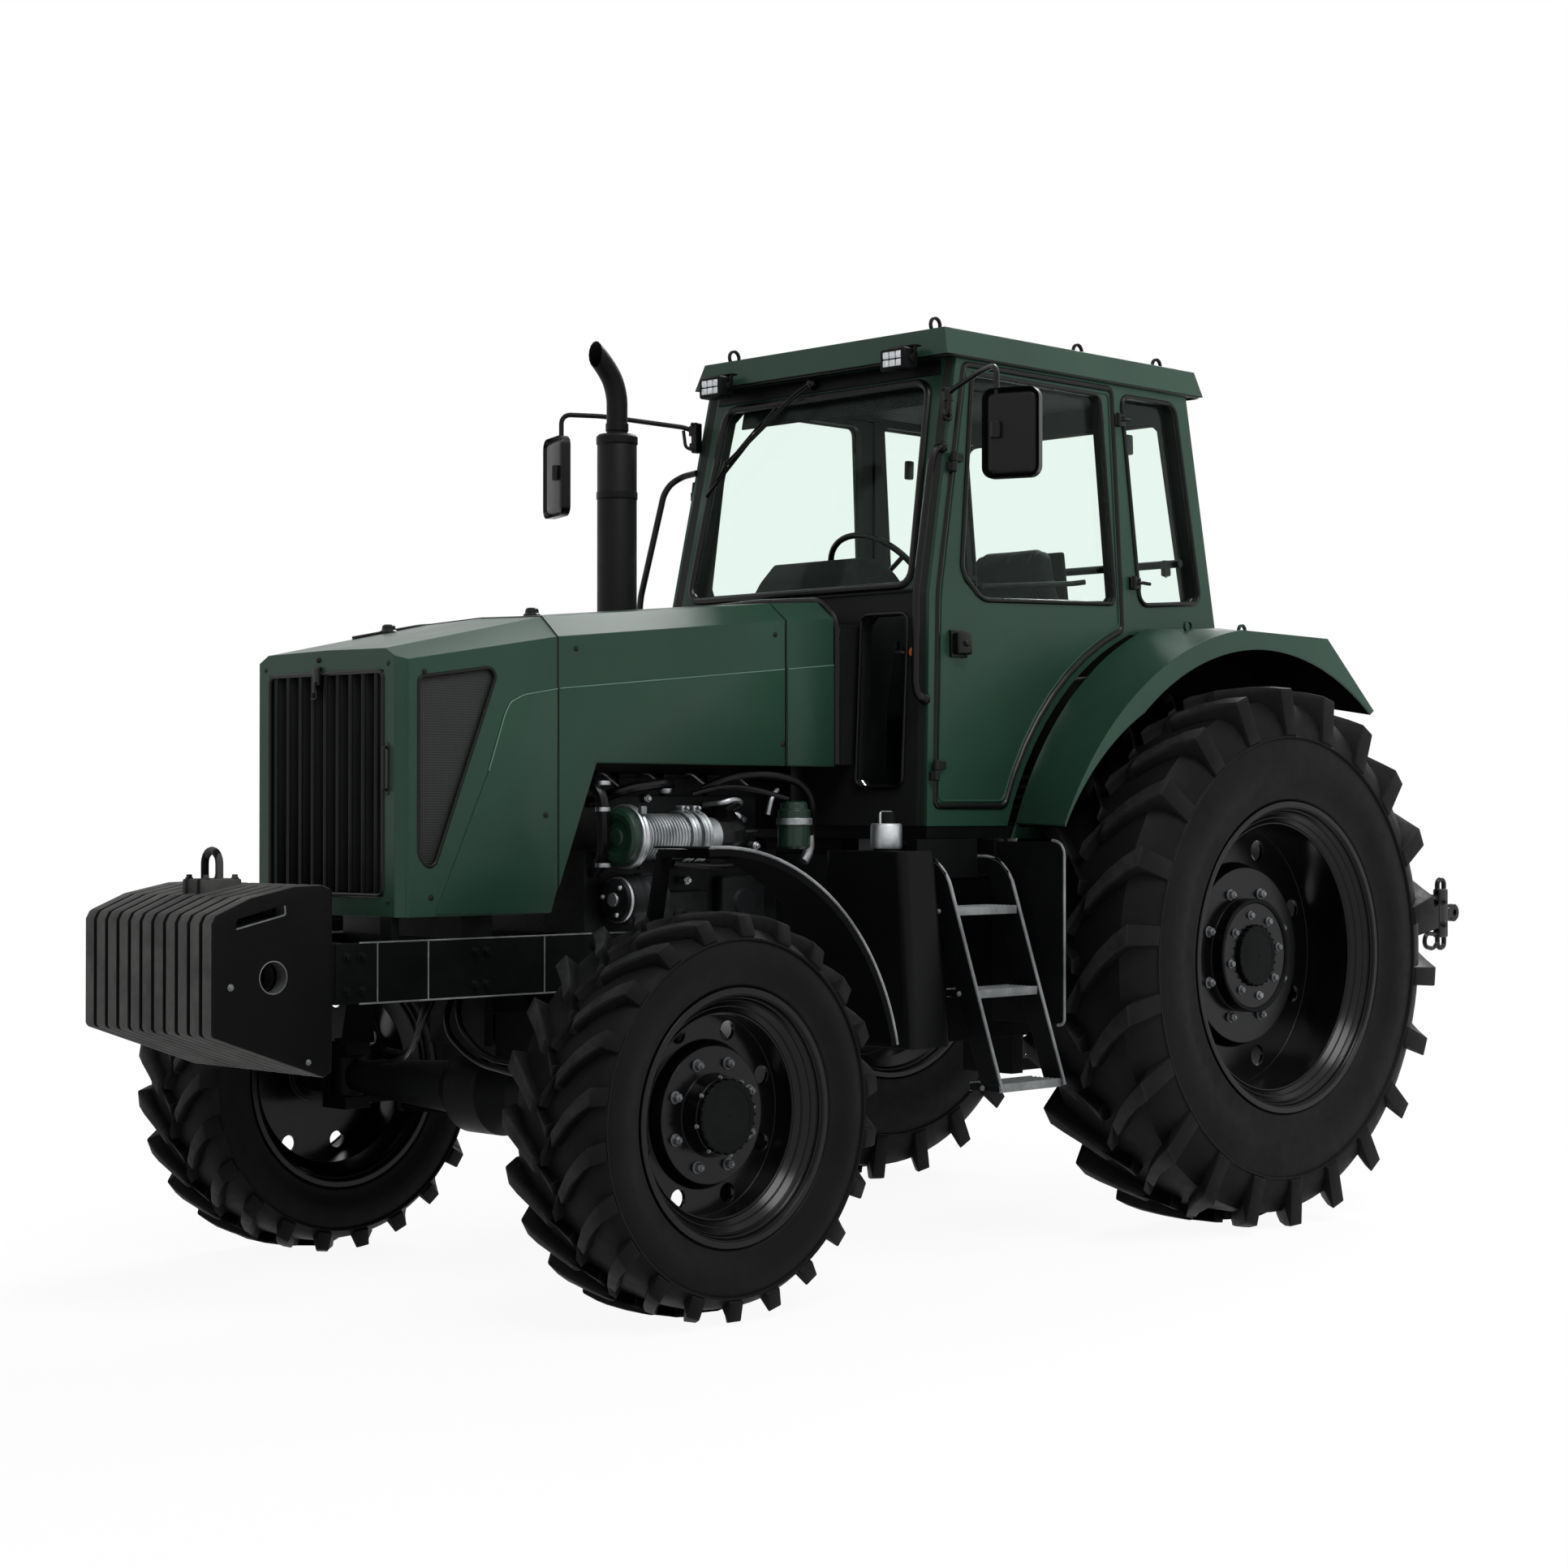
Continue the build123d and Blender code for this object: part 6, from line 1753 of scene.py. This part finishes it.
(px0, py0, pz0), (ex, ey, ez) = links["pivot"], links["end"]
low, high = links["plate"]
x = links["x"]
tail = (x, low + 0.01, 0.955)
pinSpot = [a + (b - a) * links["share"] for a, b in zip(links["pivot"], links["end"])]
linkage = [
    linkBar((px0, py0 + 0.03, pz0 + 0.007), links["end"], 0.035, 0.03),
    linkBar(links["end"], tail, 0.045, 0.03),
    ringEye(place(px0, py0, pz0), 0.042, 0.0143, 0.038),
    disc((pinSpot[0] + 0.033, pinSpot[1], pinSpot[2]), "X", 0.014, 0.066),
    disc((ex, ey, ez), "X", 0.044, 0.05, 0.004),
    boltHead((ex + 0.024, ey, ez), (1, 0, 0), 0.018, 0.012),
    block((x - 0.015, low, 0.872), (x + 0.015, high, 1.058), 0.006, 3),
    tube(
        [
            (x, low + 0.009, 1.045), (x, low + 0.009, 1.094), (x, high - 0.009, 1.094),
            (x, high - 0.009, 1.045)
        ],
        0.0095, 0.02
    ),
    tube(
        [
            (x, low + 0.009, 0.885), (x, low + 0.009, 0.832), (x, high - 0.009, 0.832),
            (x, high - 0.009, 0.885)
        ],
        0.0095, 0.02
    ),
    tube(
        [
            (x, low + 0.006, 0.885), (x, low - 0.075, 0.89), (x, low - 0.085, 0.842),
            (x, low - 0.02, 0.828), (x, low + 0.006, 0.85)
        ],
        0.0085, 0.022
    ),
    block((x - 0.013, high - 0.004, 0.945), (x + 0.013, high + 0.022, 0.985), 0.004),
    ringEye(place(x, high + 0.048, 0.965), 0.034, 0.013, 0.026),
    tube([(x - 0.004, 3.93, 1.012), (x - 0.004, 4.06, 1.046), (x - 0.004, low + 0.01, 1.02)], 0.012, 0.03),
    block((ex - 0.018, 3.885, 0.925), (ex + 0.03, 3.96, 1.04), 0.008),
    block((ex - 0.024, 3.89, 1.036), (ex + 0.036, 3.95, 1.062), 0.006),
    tube([(0, ey + 0.14, 0.93), (ex + 0.03, ey + 0.14, 0.93)], 0.024)
]
for z in (0.92, 1.01):
    linkage.append(boltHead((x + 0.015, (low + high) / 2, z), (1, 0, 0), 0.011, 0.009))
finished(both(linkage), "linkage", glossBlack, "links", ["lower_links"])

# rear fender liners in painted shade, front fender beads in a painted highlight, and the tank's filler cap
inner = arcPoints((-0.824, 1.318), (-0.556, 1.712), (-0.146, 1.962), 10) + [(0.254, 1.984), (0.564, 1.76)]
outer = arcPoints((-0.998, 1.311), (-0.646, 1.718), (-0.089, 1.944), 10) + [(0.404, 1.937), (0.684, 1.7)]
rearZ = rearHub.z


def drawnIn(point, depth):
    y, z = point
    size = math.hypot(y, z - rearZ)
    return (y * (1 - depth / size), rearZ + (z - rearZ) * (1 - depth / size))


sheet = slab(
    [Vector((0, n * 0.01, 0)) for n in range(len(inner))] + [
        Vector((0, n * 0.01, 0.01)) for n in reversed(range(len(inner)))
    ],
    (0.1, 0, 0)
)
count = len(inner)
for v in sheet.data.vertices:
    n, under, far = round(v.co.y / 0.01), v.co.z < 0.005, v.co.x > 0.05
    y, z = drawnIn((outer if far else inner)[n], 0.016 if under else 0.0095)
    v.co = Vector((0.948 if far else 0.6175, rearHub.y + y, z))
cheek = slab(
    [
        Vector((0.6165, rearHub.y + y, z))
        for y, z in (
            (-0.812, 1.305), (0.286, 1.305), (0.286, 1.752), (0.43, 1.696), (0.548, 1.706), (0.554, 1.758),
            (0.25, 1.968), (-0.14, 1.944), (-0.545, 1.696)
        )
    ],
    (0.005, 0, 0)
)
finished(both([sheet, cheek]), "fender_shade_liners", linerShadeBlack)
# painted highlight: a pale bead along each front fender's outer edge
beadRadius = 0.7135
arc = [math.radians(a) for a in range(12, 94, 3)]
bead = tube(
    [(0.9535, beadRadius * math.cos(a), frontHub.z + beadRadius * math.sin(a)) for a in arc], 0.0048
)
for side, obj in pair(bead):
    finished(obj, "front_fender_bead_" + side, wearAndHighlightEdge, "steered_" + side)
capTop = place(0.615, 1.018, 1.236)
capRows = [
    (0.006, 0.04), (0.006, 0.046), (0.014, 0.048), (0.072, 0.048), (0.08, 0.046), (0.0825, 0.042),
    (0.0825, 0)
]
capGrip = tube(
    [
        capTop + Vector((0, -0.026, 0.078)), capTop + Vector((0, -0.026, 0.116)),
        capTop + Vector((0, 0.026, 0.116)), capTop + Vector((0, 0.026, 0.078))
    ],
    0.0045, 0.008
)
finished([lathe(capRows, capTop, "Z", 48), capGrip], "filler_cap", silver, "chassis")
print("steps and frame details done")

# camera, lights and floor
studio = {
    "eye": (6.327, -6.757, 1.352), "tip": 90.578, "turn": 44.85, "lens": 64.25, "sky": 0.34, "floor": 60
}
lights = {
    "key": {"power": 2.0, "wide": 30, "turn": (34, 8, 62)},
    "rim": {"power": 2.4, "wide": 24, "turn": (-52, 0, 18)}
}
bpy.ops.object.camera_add(
    location=studio["eye"], rotation=(math.radians(studio["tip"]), 0, math.radians(studio["turn"]))
)
camera = bpy.context.object
camera.data.lens, camera.data.sensor_width = studio["lens"], 36
camera.data.clip_end = 200
bpy.context.scene.camera = camera
for light in lights.values():
    bpy.ops.object.light_add(
        type="SUN", location=(4, -6, 8), rotation=[math.radians(v) for v in light["turn"]]
    )
    bpy.context.object.data.energy = light["power"]
    bpy.context.object.data.angle = math.radians(light["wide"])
softBox = {"at": (4.2, 3.6, 3.0), "aim": (0.6, 0.2, 1.8), "size": 2.8, "power": 110}
bpy.ops.object.light_add(type="AREA", location=softBox["at"])
boxLight = bpy.context.object
boxLight.rotation_euler = (
    Vector(softBox["aim"]) - Vector(softBox["at"])
).to_track_quat("-Z", "Y").to_euler()
boxLight.data.size, boxLight.data.energy = softBox["size"], softBox["power"]
boxLight.visible_glossy = False


def seenWhite(tree):
    # white where it is seen, mirrored or looked through, plain where it lights the object
    path = tree.nodes.new("ShaderNodeLightPath")
    total = path.outputs["Is Camera Ray"]
    for name in ("Is Glossy Ray", "Is Transmission Ray"):
        more = tree.nodes.new("ShaderNodeMath")
        more.operation, more.use_clamp = "ADD", True
        tree.links.new(total, more.inputs[0])
        tree.links.new(path.outputs[name], more.inputs[1])
        total = more.outputs[0]
    return total


world = bpy.data.worlds.new("studioSky")
bpy.context.scene.world = world
world.use_nodes = True
sky = world.node_tree
back = sky.nodes["Background"]
back.inputs["Color"].default_value = (1, 1, 1, 1)
level = sky.nodes.new("ShaderNodeMapRange")
sky.links.new(seenWhite(sky), level.inputs["Value"])
level.inputs["To Min"].default_value, level.inputs["To Max"].default_value = studio["sky"], 1.0
sky.links.new(level.outputs[0], back.inputs["Strength"])

bpy.ops.mesh.primitive_plane_add(size=studio["floor"], location=(0, 0, -0.001))
ground = bpy.context.object
ground.name = "studio_floor"
paleFloor = bpy.data.materials.new("paleFloor")
paleFloor.use_nodes = True
tree = paleFloor.node_tree
base = tree.nodes["Principled BSDF"]
base.inputs["Base Color"].default_value = (0.72, 0.72, 0.72, 1)
base.inputs["Roughness"].default_value = 0.95
base.inputs["Specular IOR Level"].default_value = 0.1
glow = tree.nodes.new("ShaderNodeEmission")
glow.inputs["Color"].default_value = (1, 1, 1, 1)
blend = tree.nodes.new("ShaderNodeMixShader")
share = tree.nodes.new("ShaderNodeMath")
share.operation = "MULTIPLY"
tree.links.new(seenWhite(tree), share.inputs[0])
share.inputs[1].default_value = 0.93
tree.links.new(share.outputs[0], blend.inputs[0])
tree.links.new(base.outputs[0], blend.inputs[1])
tree.links.new(glow.outputs[0], blend.inputs[2])
tree.links.new(blend.outputs[0], tree.nodes["Material Output"].inputs[0])
ground.data.materials.append(paleFloor)
bpy.context.scene.view_settings.view_transform = "Standard"

print("studio ready")
